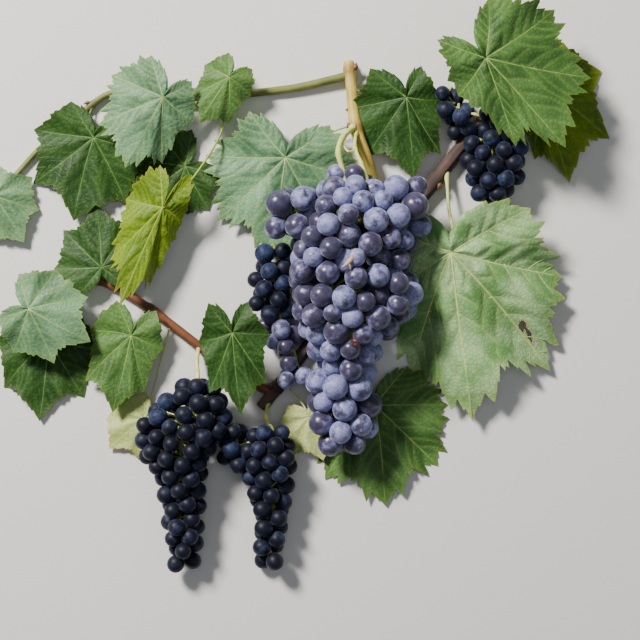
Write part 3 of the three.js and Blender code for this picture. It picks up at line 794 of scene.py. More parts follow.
class Paint:
    """A material's nodes."""

    MIX_SHARE, MIX_FIRST, MIX_SECOND, MIX_RESULT = 0, 6, 7, 2  # the colour sockets' places on a Mix node

    def __init__(self, name: str) -> None:
        """Starts a material with its surface shader.

        Args:
            name: its name.
        """
        self.material = bpy.data.materials.new(name)
        self.material.use_nodes = True
        self.tree = self.material.node_tree
        self.shader = self.tree.nodes["Principled BSDF"]
        self.place = self.node("ShaderNodeTexCoord").outputs["Object"]

    def node(self, kind: str, settings: dict | None = None, sockets: dict | None = None) -> bpy.types.Node:
        """Adds a node.

        Args:
            kind: the node's type.
            settings: its settings, set first.
            sockets: values or links for its inputs, by name or number.

        Returns:
            The node.
        """
        node = self.tree.nodes.new(kind)
        for key, value in (settings or {}).items():
            setattr(node, key, value)
        for key, value in (sockets or {}).items():
            self.feed(node.inputs[key], value)
        return node

    def feed(self, socket: bpy.types.NodeSocket, value: Any) -> None:
        """Links or sets an input.

        Args:
            socket: the input.
            value: a value, a colour or the socket that it is linked to.
        """
        value = getattr(value, "socket", value)
        if isinstance(value, bpy.types.NodeSocket):
            self.tree.links.new(value, socket)
        elif isinstance(value, tuple) and len(socket.default_value) == 4:
            socket.default_value = (*value, 1)
        else:
            socket.default_value = value

    def noise(self, size: float, detail: float = 2, rough: float = 0.5) -> Value:
        """Returns noise whose blotches are about a size in millimetres."""
        sockets = {"Vector": self.place, "Scale": 1 / (size * MM), "Detail": detail, "Roughness": rough}
        return Value(self, self.node("ShaderNodeTexNoise", {}, sockets).outputs[0])

    def cells(self, size: float) -> Value:
        """Adds a pattern of cells.

        Args:
            size: about how wide they are, in millimetres.

        Returns:
            The distance to their edges, from 0 on the edge.
        """
        sockets = {"Vector": self.place, "Scale": 1 / (size * MM)}
        node = self.node("ShaderNodeTexVoronoi", {"feature": "DISTANCE_TO_EDGE"}, sockets)
        return Value(self, node.outputs[0])

    def mark(self, name: str) -> Value:
        """Reads a piece's attribute."""
        return Value(self, self.node("ShaderNodeAttribute", {"attribute_name": name}).outputs["Fac"])

    def mix(self, share: Value, first: Any, second: Any) -> bpy.types.NodeSocket:
        """Mixes two colours.

        Args:
            share: how much there is of the second one.
            first: a colour or a socket.
            second: another.

        Returns:
            The mixed colour's socket.
        """
        node = self.node("ShaderNodeMix", {"data_type": "RGBA"})
        self.feed(node.inputs[self.MIX_SHARE], share)
        self.feed(node.inputs[self.MIX_FIRST], first)
        self.feed(node.inputs[self.MIX_SECOND], second)
        return node.outputs[self.MIX_RESULT]

    def bump(self, height: Value, depth: float) -> None:
        """Raises the surface by a height times a depth in millimetres."""
        node = self.node("ShaderNodeBump", {}, {"Strength": 1.0, "Distance": depth * MM, "Height": height})
        self.feed(self.shader.inputs["Normal"], node.outputs[0])

    def finish(self, **sockets: Any) -> bpy.types.Material:
        """Sets the shader's sockets.

        Args:
            **sockets: values or links, named with underscores for spaces.

        Returns:
            The material.
        """
        for key, value in sockets.items():
            self.feed(self.shader.inputs[key.replace("_", " ")], value)
        return self.material


# How dusty a berry is and how far its bloom turns purple, from the barest to the dustiest
DUST_LEVELS = ((0.08, 0.9), (0.28, 0.4), (0.48, 0.7), (0.68, 0.15), (0.88, 0.4))


def blend(first: Colour, second: Colour, share: float) -> Colour:
    """Returns the colour at a share of the way from the first to the second."""
    return tuple(a + (b - a) * share for a, b in zip(first, second))


@dataclass(frozen=True)
class BerrySkin:
    """Dark skin under a pale waxy bloom that is rubbed off in patches.

    Its rubbed patches are smoother by its gloss. Its shine is the level of its highlights, and its haze how
    much soft light it has at the rim.
    """

    PATCH, CLOUD, SMUDGE, SPECK = 7, 5, 1.9, 1.1  # sizes of its blotches, in millimetres
    TINTED, SPECKED, BARE = 0.55, 0.5, 0.9  # how strongly purple, specks and rubbed patches show
    ROUGH, RELIEF = 0.58, 0.04
    RIM_LIGHT, RIM_ROUGH = (0.7, 0.73, 1.0), 0.4

    name: str
    bloom: Colour
    deep_bloom: Colour
    purple: Colour
    skin: Colour
    gloss: float
    shine: float
    haze: float

    def levels(self) -> list[bpy.types.Material]:
        """Returns the materials from the barest berries to the dustiest."""
        return [self.make(f"{self.name}_{number + 1}", *level) for number, level in enumerate(DUST_LEVELS)]

    def make(self, name: str, dust: float, tint: float) -> bpy.types.Material:
        """Returns the material of one level.

        Args:
            name: its name.
            dust: how much of the bloom is left.
            tint: how far the bloom turns purple.

        Returns:
            The material.
        """
        paint = Paint(name)
        rubbed = (paint.noise(self.PATCH, 3, rough=0.6) * 0.95 + (0.3 - 0.5 * dust)).ramp(0.34, 0.6)
        smudge = paint.noise(self.SMUDGE, 3, rough=0.7)
        purple = self.TINTED * tint
        pale, deep = (blend(colour, self.purple, purple) for colour in (self.bloom, self.deep_bloom))
        bloom = paint.mix((smudge * 0.6 + paint.noise(self.CLOUD, 2) * 0.6 - 0.1).ramp(0.3, 0.7), deep, pale)
        specks = paint.noise(self.SPECK, 1).ramp(0.6, 0.7)
        bloom = paint.mix(specks * self.SPECKED, bloom, self.skin)
        colour = paint.mix(rubbed * self.BARE, bloom, self.skin)
        paint.bump(smudge, self.RELIEF)
        return paint.finish(
            Base_Color=colour, Roughness=self.ROUGH - rubbed * self.gloss, Specular_IOR_Level=self.shine,
            Sheen_Weight=self.haze, Sheen_Roughness=self.RIM_ROUGH, Sheen_Tint=self.RIM_LIGHT,
        )


@dataclass(frozen=True)
class BladeFinish:
    """One side of a leaf's blade, with its net of small veins, whose grooves are painted darker as shade, its
    margin and its rust.
    """

    BLOTCH, NET, RUST_SPOT, GRAIN = 26, 3.4, 3, 1.1  # sizes of its pattern, in millimetres
    NET_SHADE = 0.45  # share of the green that is left in the net's grooves, painted shade
    NETTED, VEINED, EDGED, RUSTED = 0.38, 0.4, 0.6, 0.85  # how strongly its marks show, the first being the net's painted shade
    RUST = (0.42, 0.3, 0.11)
    RELIEF = 0.13

    name: str
    green: Colour
    light: Colour
    vein: Colour
    margin: Colour
    rough: float
    shine: float

    def make(self) -> bpy.types.Material:
        """Makes the finish's nodes.

        Returns:
            The material.
        """
        paint = Paint(self.name)
        broad = paint.noise(self.BLOTCH, 2)
        green = paint.mix(broad.ramp(0.35, 0.68), self.green, self.light)
        cells = paint.cells(self.NET)
        # the net's grooves, where the bump sinks, are painted darker as shade
        dark = tuple(self.NET_SHADE * part for part in self.green)
        green = paint.mix((1 - cells.ramp(0.0, 0.12)) * self.NETTED, green, dark)
        green = paint.mix(paint.mark("vein") * self.VEINED, green, self.vein)
        green = paint.mix(paint.mark("edge") * self.EDGED, green, self.margin)
        rust = (paint.mark("rust") + paint.noise(self.RUST_SPOT, 3) * 0.5 - 0.25).ramp(0.35, 0.8)
        green = paint.mix(rust * self.RUSTED, green, self.RUST)
        paint.bump(cells.ramp(0.0, 0.3) + paint.noise(self.GRAIN, 2) * 0.2, self.RELIEF)
        return paint.finish(
            Base_Color=green, Roughness=self.rough + broad * 0.12, Specular_IOR_Level=self.shine,
            Sheen_Weight=0.1 * self.shine, Sheen_Roughness=0.5,
        )


@dataclass(frozen=True)
class StalkFinish:
    """Smooth tissue, of stalks, buds and the ribs of leaves."""

    BLOTCH, GRAIN, RELIEF = 6, 0.9, 0.1  # in millimetres
    ROUGH = 0.5

    name: str
    colour: Colour
    shade: Colour

    def with_fine(self, under: Colour, share: float) -> list[bpy.types.Material]:
        """Returns its material and that of finer parts, which come near the colour of what bears them."""
        fine = (blend(colour, under, share) for colour in (self.colour, self.shade))
        return [self.make(), StalkFinish(f"fine_{self.name}", *fine).make()]

    def make(self) -> bpy.types.Material:
        """Makes the finish's nodes.

        Returns:
            The material.
        """
        paint = Paint(self.name)
        colour = paint.mix(paint.noise(self.BLOTCH, 3).ramp(0.38, 0.66), self.colour, self.shade)
        paint.bump(paint.noise(self.GRAIN, 2), self.RELIEF)
        return paint.finish(Base_Color=colour, Roughness=self.ROUGH)


@dataclass(frozen=True)
class BarkFinish:
    """A cane's bark, whose grooves are painted darker as shade and whose joints have their own colour."""

    BLOTCH, GRAIN, RELIEF = 13, 0.8, 0.16  # in millimetres
    FIBROUS, JOINTED = 0.45, 0.7  # how strongly its fibres and joints show

    name: str
    colour: Colour
    light: Colour
    groove: Colour
    joint: Colour
    rough: float

    def make(self) -> bpy.types.Material:
        """Makes the finish's nodes.

        Returns:
            The material.
        """
        paint = Paint(self.name)
        fibre = paint.mark("fibre")
        colour = paint.mix(paint.noise(self.BLOTCH, 3).ramp(0.34, 0.68), self.colour, self.light)
        colour = paint.mix(fibre.ramp(0.1, 0.9) * self.FIBROUS, colour, self.light)
        # painted shade in the grooves
        colour = paint.mix(paint.mark("groove"), colour, self.groove)
        colour = paint.mix(paint.mark("joint") * self.JOINTED, colour, self.joint)
        paint.bump(fibre + paint.noise(self.GRAIN, 3) * 0.6, self.RELIEF)
        return paint.finish(Base_Color=colour, Roughness=self.rough)


@dataclass(frozen=True)
class CutFinish:
    """Freshly cut wood: a brown pith in pale wood with rays, and a bark rim."""

    GRAIN, ROUGH = 0.8, 0.8  # the grain in millimetres

    name: str = "cut_wood"
    wood: Colour = (0.52, 0.42, 0.24)
    ray: Colour = (0.36, 0.29, 0.14)
    pith: Colour = (0.2, 0.11, 0.05)
    rim: Colour = (0.1, 0.06, 0.03)

    def make(self) -> bpy.types.Material:
        """Makes the finish's nodes.

        Returns:
            The material.
        """
        paint = Paint(self.name)
        out = paint.mark("out")
        colour = paint.mix(paint.noise(self.GRAIN, 3).ramp(0.4, 0.6), self.wood, self.ray)
        colour = paint.mix(1 - out.ramp(0.22, 0.32), colour, self.pith)
        colour = paint.mix(out.ramp(0.86, 0.95), colour, self.rim)
        return paint.finish(Base_Color=colour, Roughness=self.ROUGH)


TOP_ROUGH, BACK_ROUGH, BACK_SHINE = 0.46, 0.72, 0.2

# For each tone, the finishes of its leaves' tops, backs and ribs, and the green that the finer ribs come near
LEAF_FINISHES: dict[Tone, tuple[BladeFinish, BladeFinish, StalkFinish, Colour]] = {
    tone: (
        BladeFinish(f"{tone.value}_leaf_top", green, light, vein, margin, TOP_ROUGH, shine),
        BladeFinish(f"{tone.value}_leaf_back", under, under, vein, margin, BACK_ROUGH, BACK_SHINE),
        StalkFinish(f"{tone.value}_leaf_rib", rib, vein),
        light,
    )
    for tone, green, light, under, vein, rib, margin, shine in (
        (
            Tone.GREY, (0.06, 0.155, 0.072), (0.15, 0.31, 0.155), (0.24, 0.34, 0.19),
            (0.26, 0.4, 0.14), (0.4, 0.53, 0.18), (0.24, 0.37, 0.08), 0.36,
        ),
        # paler, painted sunlight
        (
            Tone.SUNLIT, (0.14, 0.31, 0.085), (0.39, 0.61, 0.28), (0.27, 0.37, 0.18),
            (0.42, 0.54, 0.18), (0.68, 0.74, 0.26), (0.36, 0.46, 0.1), 0.42,
        ),
        # darker, painted shade
        (
            Tone.MIDDLE, (0.038, 0.1, 0.02), (0.082, 0.185, 0.04), (0.18, 0.27, 0.11),
            (0.16, 0.28, 0.06), (0.3, 0.42, 0.1), (0.13, 0.21, 0.03), 0.24,
        ),
        # darker still, painted shade
        (
            Tone.DEEP_SHADE, (0.013, 0.045, 0.007), (0.027, 0.078, 0.012), (0.12, 0.2, 0.075),
            (0.08, 0.17, 0.035), (0.16, 0.28, 0.06), (0.07, 0.13, 0.016), 0.18,
        ),
        (
            Tone.YELLOW, (0.075, 0.15, 0.003), (0.165, 0.265, 0.006), (0.24, 0.32, 0.05),
            (0.27, 0.36, 0.025), (0.38, 0.46, 0.055), (0.32, 0.33, 0.02), 0.24,
        ),
        (
            Tone.PALE, (0.36, 0.47, 0.12), (0.56, 0.64, 0.24), (0.46, 0.5, 0.2),
            (0.56, 0.6, 0.24), (0.6, 0.62, 0.26), (0.5, 0.38, 0.08), 0.3,
        ),
    )
}

# The third colour of each bark is the painted shade in its grooves
BARKS: dict[Bark, BarkFinish] = {
    Bark.OLD: BarkFinish(
        "old_bark", (0.05, 0.029, 0.025), (0.1, 0.062, 0.053), (0.011, 0.007, 0.006), (0.04, 0.024, 0.02),
        0.85,
    ),
    Bark.RIPE: BarkFinish(
        "ripe_bark", (0.125, 0.036, 0.012), (0.22, 0.075, 0.026), (0.045, 0.013, 0.006),
        (0.075, 0.024, 0.011), 0.58,
    ),
    Bark.STRAW: BarkFinish(
        "straw_bark", (0.44, 0.31, 0.042), (0.7, 0.55, 0.12), (0.18, 0.11, 0.018), (0.22, 0.1, 0.025), 0.52,
    ),
    Bark.GREEN: BarkFinish(
        "green_bark", (0.1, 0.13, 0.022), (0.2, 0.22, 0.045), (0.05, 0.065, 0.012), (0.1, 0.07, 0.02), 0.5,
    ),
}


# Canes


class Cane:
    """A cane of the branch, with its bark's relief, joints and buds."""

    RING_STEP = 1.3  # between its rings of faces, in millimetres like all measures here
    CUT_RINGS = 4  # of faces on each cut end
    OLD_SIDES, YOUNG_SIDES = 44, 33  # faces round it
    SUNK = 1.5  # how deep under the bark its stalks start
    # Patterns of the bark: how fine they are round the cane, how long they run along it, and their seed
    WANDER, FIBRE, SPLIT, STRIP = (1.5, 60, 3), (5, 12, 5), (2.1, 22, 7), (1.6, 30, 9)
    STRAY = 0.35  # radians that all of them wander off their line
    SPLIT_WIDTH = 0.13
    OLD_RELIEF = (0.22, 0.75, 0.4)  # height of its fibres, depth of its splits and height of its strips
    RIDGES = 11
    YOUNG_FIBRE = 0.06
    # Height of a young cane's ridges and how strongly its grooves are painted darker as shade
    YOUNG_RELIEF = {Bark.RIPE: (0.16, 0.45), Bark.STRAW: (0.09, 0.2), Bark.GREEN: (0.08, 0.3)}
    UNDER_RELIEF = 0.985  # share of the radius that the relief stands on
    JOINT_SMOOTHS = 0.4  # share of the relief that a joint hides
    COLLAR = 0.175  # height of the rings on a joint
    BEVEL, BEVEL_LENGTH = 0.5, 0.9  # of the rim of a cut end
    LOWEST = 0.05  # over the floor
    WHOLE = 0.99  # share of the radius under which a face is cut wood
    SHARP = math.radians(50)  # the angle from which an edge isn't smoothed
    BUD_SIDE, BUD_LENGTH, BUD_SIZE = 2.6, 4.2, 0.42  # out, along, and as a share of the cane's radius

    def __init__(self, name: str, spec: CaneSpec) -> None:
        """Takes a cane from the table.

        Args:
            name: its name.
            spec: its row.
        """
        self.name = name
        self.spec = spec
        self.line = Line(spec.path)
        self.length = self.line.length()
        self.rings = round(self.length / self.RING_STEP)
        self.rows = self.rings + 2 * self.CUT_RINGS

    def joint_at(self, shares: Array) -> Array:
        """Returns 1 on a joint, falling to 0 away from it."""
        shares = np.asarray(shares, float)[..., None]
        return np.exp(-(((shares - np.array(self.spec.joints)) * self.length / JOINT_LENGTH) ** 2)).sum(-1)

    def radius_at(self, shares: Array) -> Array:
        """Works out the radius, with the joints' swelling.

        Args:
            shares: where along the cane.

        Returns:
            The radius there.
        """
        first, last = self.spec.radius
        swelling = 1 + JOINT_SWELLING * self.joint_at(shares)
        return (first + (last - first) * np.asarray(shares, float)) * swelling

    def beads(self) -> tuple[Array, Array]:
        """Returns the middles and radii of the beads that berries are kept off."""
        shares = np.linspace(0, 1, round(self.length / BEAD_SPACING) + 1)
        return self.line.at(shares), self.radius_at(shares) + GAP

    def leave(self, share: float, towards: Array) -> Array:
        """Finds where a stalk starts, a little under the bark.

        Args:
            share: the share of the cane.
            towards: a point that the stalk goes on to.

        Returns:
            The stalk's first point.
        """
        middle = self.line.at(share)
        along = self.line.direction(share)
        way = unit(np.asarray(towards, float) - middle)
        out = unit(way - (way @ along) * along)
        return middle + out * (self.radius_at(share) - self.SUNK)

    def grain(self, turn: Array, share: Array, pattern: tuple[float, float, int]) -> Array:
        """Reads one of the bark's patterns.

        Args:
            turn: turns about the cane, in radians.
            share: shares along it.
            pattern: how fine it is round the cane, how long along it, and its seed.

        Returns:
            Values between about -1 and 1.
        """
        fine, long, seed = pattern
        ring = np.stack([np.cos(turn), np.sin(turn)], -1)
        run = share * self.length
        return noise(np.concatenate([ring * fine, run[:, None] / long], -1), 1, seed)

    def relief(self, turn: Array, share: Array) -> tuple[Array, Array, Array]:
        """Works out the bark's relief.

        Args:
            turn: turns about the cane, in radians.
            share: shares along it.

        Returns:
            The height in millimetres, the mark for the painted shade in its grooves, and that for fibres.
        """
        turn = turn + self.STRAY * self.grain(turn, share, self.WANDER)
        fibre = self.grain(turn, share, self.FIBRE)
        if self.spec.bark is Bark.OLD:
            high, deep, raised = self.OLD_RELIEF
            split = self.grain(turn, share, self.SPLIT)
            # the splits sink by this groove mask, which also gives their painted shade
            groove = np.clip(1 - np.abs(split) / self.SPLIT_WIDTH, 0, 1) ** 1.3
            strip = np.clip((self.grain(turn, share, self.STRIP) - 0.12) * 6, 0, 1)
            return high * fibre - deep * groove + raised * strip, groove, fibre * 0.5 + 0.5
        high, dark = self.YOUNG_RELIEF[self.spec.bark]
        ridges = np.cos(turn * self.RIDGES) * 0.5 + 0.5
        # the grooves between the ridges get painted shade
        groove = np.clip(1 - ridges * 2.2, 0, 1) * dark
        return high * (ridges - 0.5) + self.YOUNG_FIBRE * fibre, groove, fibre * 0.5 + 0.5

    def roll(self, around: Array, along: Array) -> Array:
        """Rolls a flat sheet into a tube with closed ends.

        Args:
            around: shares of the sheet's width.
            along: shares of its length.

        Returns:
            Points of a tube of radius one, whose Z is the share of the cane.
        """
        row = along * self.rows
        out = np.clip(np.minimum(row, self.rows - row) / self.CUT_RINGS, 0, 1)
        share = np.clip((row - self.CUT_RINGS) / self.rings, 0, 1)
        return np.stack([out * np.cos(2 * np.pi * around), out * np.sin(2 * np.pi * around), share], -1)

    def build(self, bark: bpy.types.Material, cut: bpy.types.Material) -> bpy.types.Object:
        """Builds the cane in place of its plain one.

        Args:
            bark: the finish of its outside.
            cut: the finish of its cut ends.

        Returns:
            The piece.
        """
        columns = self.OLD_SIDES if self.spec.bark is Bark.OLD else self.YOUNG_SIDES
        piece = rolled_sheet(f"{self.name}_bark", columns, self.rows, self.roll)
        rolled = read_points(piece)
        turn, share = np.arctan2(rolled[:, 1], rolled[:, 0]), rolled[:, 2]
        out = np.hypot(rolled[:, 0], rolled[:, 1])
        height, groove, fibre = self.relief(turn, share)
        joint = self.joint_at(share)
        collar = self.COLLAR * np.sin(np.clip(joint, 0, 1) * np.pi * 3) * joint
        height = height * (1 - self.JOINT_SMOOTHS * joint)
        radius = self.radius_at(share) * self.UNDER_RELIEF + height + collar
        ends = np.minimum(share, 1 - share) * self.length
        radius = (radius - self.BEVEL * np.clip(1 - ends / self.BEVEL_LENGTH, 0, 1) ** 2) * out
        level, rise = self.line.sides(share)
        way = np.cos(turn)[:, None] * level + np.sin(turn)[:, None] * rise
        points = self.line.at(share) + radius[:, None] * way
        points[:, 2] = np.maximum(points[:, 2], self.LOWEST)
        write_points(piece, to_row(points))
        for key, values in (("groove", groove), ("fibre", fibre), ("joint", joint), ("out", out)):
            mark(piece, key, values)
        edit_all(bpy.ops.mesh.normals_make_consistent, inside=False)
        piece.data.materials.append(bark)
        piece.data.materials.append(cut)
        for face in piece.data.polygons:
            face.material_index = int(out[list(face.vertices)].min() < self.WHOLE)
        bpy.ops.object.shade_smooth_by_angle(angle=self.SHARP)
        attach(piece, "root")
        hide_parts(self.name)
        return piece

    def buds(self) -> list[Shape]:
        """Models a small scaly bud for each joint, on sides that take turns.

        Returns:
            The buds.
        """
        shapes = []
        for i, share in enumerate(self.spec.joints):
            level, rise = self.line.sides(np.array([share]))
            side = unit(level[0] * (-1) ** i + 0.7 * rise[0])
            along = self.line.direction(share)
            foot = self.line.at(share) + side * self.radius_at(share) * 0.8
            tip = foot + side * self.BUD_SIDE + along * self.BUD_LENGTH
            size = self.spec.radius[0] * self.BUD_SIZE
            shapes.append(Shape.tube(
                Line([foot, foot + side * 1.4 + along * 1.2, tip]),
                lambda s, size=size: size * np.clip(1.25 * np.sin(np.pi * (0.3 + 0.7 * s)), 0.05, 1), 10, 8,
            ))
        return shapes


# Leaves


class Leaf:
    """A leaf by the leaf's rule, with finer teeth, its net of veins, its ribs and its stalk."""

    MODEL_LENGTH = 76  # of a leaf, in millimetres like all sizes here, that the next ones are meant for
    QUILT = 0.7  # how far the blade rises between its veins
    SWELL, SWELL_SIZE = 1.5, 17  # how far it rises and sinks slowly, and how wide such a swell is
    MIDRIB = 0.42  # radius at its foot
    LOBE_VEINS = ((2, 0.36), (4, 0.3), (6, 0.24))  # places of the side lobes in LOBES, and the radii there
    MAIN_END, BRANCH_END = 0.08, 0.04

    THICK = 0.5  # of the blade
    RIB_OUT = 0.21  # what a rib's radius has more than its vein's, to stand out of both sides
    QUILT_SOFT = 2.6  # how far from a vein the blade is up
    VEIN_WIDTH = 0.9  # of its light colour
    MARGIN = 0.1  # share of the reach that has the margin's colour
    RING_STEP, PLAIN_RING_STEP = 2.4, 3.2  # between rings of faces, on leaves with more teeth and with one
    FEWEST_RINGS = 14
    SHARP = math.radians(60)  # the angle from which an edge isn't smoothed

    TOOTH_OUT = 1.65 * TOOTH_DEPTH
    MORE_BY_STALK = 3  # teeth
    TOOTH_LEAST, TOOTH_DRAWN = 0.75, 0.7  # its height, as shares of the common one
    SKEW_LEAST, SKEW_DRAWN = 0.85, 0.35  # how far its point leans

    # The net of veins, with its lengths as shares of the leaf's
    MAIN_REACH, MAIN_BOW, MAIN_POINTS = 0.97, 0.018, 14
    BRANCHES, BRANCH_STEP, BRANCH_STEPS = 5, 0.02, 34
    FIRST, APART, DRAWN_ON, LEFT_ON = 0.15, 0.155, 0.05, 0.06  # where branches start along a main vein
    LEAN, LEAN_LESS, LEAN_DRAWN = 54, 3, 7  # degrees, the middle one for each branch further on
    BRANCH_RADIUS, BRANCH_THINNER = 0.15, 0.06  # at the junction, and how much less at a main vein's end
    BRANCH_CURL = 0.03  # radians for each step
    NET_RIM = 0.96  # share of the reach where it ends
    STALK_BAY = 172  # degrees from which there are no branches

    # Spots, as shares of their radius
    RUST_OUT, HOLE_OUT, HOLE_RAGGED = 1.9, 0.75, 0.35
    HOLE_NOISE = 2.6  # how wide the unevenness of a hole's rim is, in millimetres
    BATCH = 1500  # points at a time

    def __init__(self, name: str, spec: LeafSpec) -> None:
        """Takes a leaf from the table and makes its own small differences.

        Args:
            name: its name.
            spec: its row.
        """
        self.name = name
        self.spec = spec
        self.size = spec.length / self.MODEL_LENGTH
        draw = Draws(spec.seed)
        self.wave_phase = draw() * 2 * math.pi
        last = len(LOBES) - 1
        self.lobes = np.zeros((2, len(LOBES), 2))
        for half in range(2):
            for i, (degrees, reach) in enumerate(LOBES):
                own = 1 + LOBE_DIFFERENCE * (draw() - 0.5)
                direction = degrees * spec.spread if i < last else degrees
                self.lobes[half, i] = direction, reach if i % last == 0 else reach * own
        pitch, yaw = math.radians(-spec.tip), math.radians(spec.heading)
        about_z = np.array([
            [math.cos(yaw), -math.sin(yaw), 0],
            [math.sin(yaw), math.cos(yaw), 0],
            [0, 0, 1],
        ])
        about_y = np.array([
            [math.cos(pitch), 0, math.sin(pitch)],
            [0, 1, 0],
            [-math.sin(pitch), 0, math.cos(pitch)],
        ])
        self.turned = about_z @ about_y
        self.normal = self.turned @ UP
        self.bends = np.radians(spec.fold)
        self.width = np.array(spec.width)
        self.junction = np.array(spec.at, float)
        self.thickness = spec.length * BLADE_THICKNESS

    def from_tip(self, degrees: Array) -> tuple[Array, Array, Array]:
        """Finds the spans between a lobe's tip and a bay that directions fall in.

        Args:
            degrees: the directions, from the midrib.

        Returns:
            The spans' numbers, the shares of the way from tip to bay, and the halves of the leaf.
        """
        half = (degrees <= 0).astype(int)
        turn = np.minimum(np.abs(degrees), 180)
        edges = self.lobes[:, :, 0]
        above = np.where(half[:, None] == 0, edges[0], edges[1]) > turn[:, None]
        span = np.clip(np.where(above.any(1), above.argmax(1) - 1, len(LOBES) - 2), 0, len(LOBES) - 2)
        start, end = edges[half, span], edges[half, span + 1]
        share = np.clip((turn - start) / (end - start), 0, 1)
        return span, np.where(span % 2 == 0, share, 1 - share), half

    def reach_of(self, degrees: Array) -> Array:
        """Works out the blade's reach without its teeth.

        Args:
            degrees: the directions, from the midrib.

        Returns:
            The reach there, as shares of the length.
        """
        span, from_tip, half = self.from_tip(degrees)
        tip = np.where(span % 2 == 0, span, span + 1)
        bay = np.where(span % 2 == 0, span + 1, span)
        low, high = self.lobes[half, bay, 1], self.lobes[half, tip, 1]
        return low + (high - low) * (1 - from_tip) ** LOBE_POINT

    def point(self, degrees: Array, reach: Array, rim: Array) -> Array:
        """Places the middle of the blade.

        Args:
            degrees: the directions, from the midrib.
            reach: how far from the junction, as shares of the length.
            rim: the same, as shares of the whole reach there.

        Returns:
            The points.
        """
        _, from_tip, half = self.from_tip(degrees)
        angle = np.radians(degrees)
        bulge = LEAF_BULGE * rim * 0.5 * (1 - np.cos(np.pi * from_tip))
        wave = LEAF_WAVE * rim**2 * np.sin(3 * angle + self.wave_phase)
        height = bulge + wave - self.spec.droop * rim**2
        across = np.abs(np.sin(angle)) * reach * self.width[half]
        bend = self.bends[half]
        local = np.stack([
            np.cos(angle) * reach,
            np.sign(degrees) * (across * np.cos(bend) + height * np.sin(bend)),
            height * np.cos(bend) - across * np.sin(bend),
        ], -1)
        points = self.spec.length * local @ self.turned.T + self.junction
        points[:, 2] = np.maximum(points[:, 2], self.thickness / 2 + LIFT)
        return points

    def on_blade(self, flat: Array) -> Array:
        """Places flat places on the blade.

        Args:
            flat: shares of the length along and across the midrib.

        Returns:
            The points.
        """
        degrees = np.degrees(np.arctan2(flat[:, 1], flat[:, 0]))
        reach = np.hypot(flat[:, 0], flat[:, 1])
        rim = np.minimum(reach / self.reach_of(degrees), 1)
        return self.swelled(self.point(degrees, reach, rim), rim, np.zeros(len(flat)))

    def swelled(self, points: Array, rim: Array, lift: Array) -> Array:
        """Raises points of the blade by its slow swell and more, and keeps them off the floor.

        Args:
            points: the points.
            rim: their shares of the reach.
            lift: how much more they rise.

        Returns:
            The raised points.
        """
        slow = noise(points, self.SWELL_SIZE * self.size, self.spec.seed)
        swell = lift + self.SWELL * self.size * rim * slow
        points = points + swell[:, None] * self.normal
        points[:, 2] = np.maximum(points[:, 2], self.THICK / 2 + LIFT)
        return points

    def margin(self) -> tuple[Array, Array]:
        """Follows the margin from one side of the stalk's bay round the tip to the other.

        Returns:
            The directions in degrees, and how far the teeth stand out there as shares of the reach.
        """
        sides = []
        for half in range(2):
            draw = Draws(self.spec.seed * 7 + half)
            side = []
            for span in range(len(LOBES) - 1):
                start, end = self.lobes[half, span, 0], self.lobes[half, span + 1, 0]
                by_stalk = span == len(LOBES) - 2
                teeth = self.spec.teeth + (self.MORE_BY_STALK if by_stalk else 0)
                row = []
                for tooth in range(teeth):
                    depth = self.TOOTH_OUT * (self.TOOTH_LEAST + self.TOOTH_DRAWN * draw())
                    skew = self.SKEW_LEAST + self.SKEW_DRAWN * draw()
                    for place, out in TOOTH:
                        share = (tooth + place**skew) / teeth
                        if tooth == 0:
                            out -= 0.5 * max(0.0, 1 - place / TOOTH_NOTCH)
                        if by_stalk:
                            out *= 0.85 * max(0.0, min(1.0, 1.6 - 2.1 * share))
                        row.append((share, depth * out))
                row.append((1.0, 0.0))
                if span % 2:
                    row = [(1 - share, out) for share, out in reversed(row)]
                side += [(start + (end - start) * share, out) for share, out in row[:-1]]
            side.append((180.0, 0.0))
            sides.append(np.array(side))
        left, right = sides
        right = right[::-1] * np.array([-1, 1])
        whole = np.vstack([right, left[1:]])
        return whole[:, 0], whole[:, 1]

    def veins(self) -> list[tuple[Array, float, float]]:
        """Draws the net's larger veins.

        Returns:
            For each, its flat line and its radii in millimetres at its start and end.
        """
        found: list[tuple[Array, float, float]] = []
        mains = [(0.0, self.MIDRIB)] + [
            (side * self.lobes[half, lobe, 0], radius)
            for half, side in ((0, 1), (1, -1)) for lobe, radius in self.LOBE_VEINS
        ]
        headings = np.sort([degrees for degrees, _ in mains])
        for degrees, radius in mains:
            reach = float(self.reach_of(np.array([degrees]))[0]) * self.MAIN_REACH
            way = np.array([math.cos(math.radians(degrees)), math.sin(math.radians(degrees))])
            bow = np.array([-way[1], way[0]]) * self.MAIN_BOW * math.sin(self.spec.seed * 3 + degrees)
            run = np.linspace(0, 1, self.MAIN_POINTS)[:, None]
            line = way * reach * run + bow * np.sin(np.pi * run)
            found.append((line, radius * self.size, self.MAIN_END * self.size))
            others = np.abs(headings - degrees)
            room = others[others > 1].min() / 2
            draw = Draws(int(self.spec.seed * 11 + abs(degrees)))
            for side in (-1, 1):
                for k in range(self.BRANCHES):
                    start = self.FIRST + self.APART * k + self.DRAWN_ON * draw()
                    start += self.LEFT_ON if side > 0 else 0
                    turn = self.LEAN - self.LEAN_LESS * k + self.LEAN_DRAWN * draw()
                    lean = math.radians(degrees + side * turn)
                    steps = self.branch(degrees, way * reach * start, lean, side, room)
                    if len(steps) > 3:
                        foot_radius = (self.BRANCH_RADIUS - self.BRANCH_THINNER * start) * self.size
                        found.append((np.array(steps), foot_radius, self.BRANCH_END * self.size))
        return found

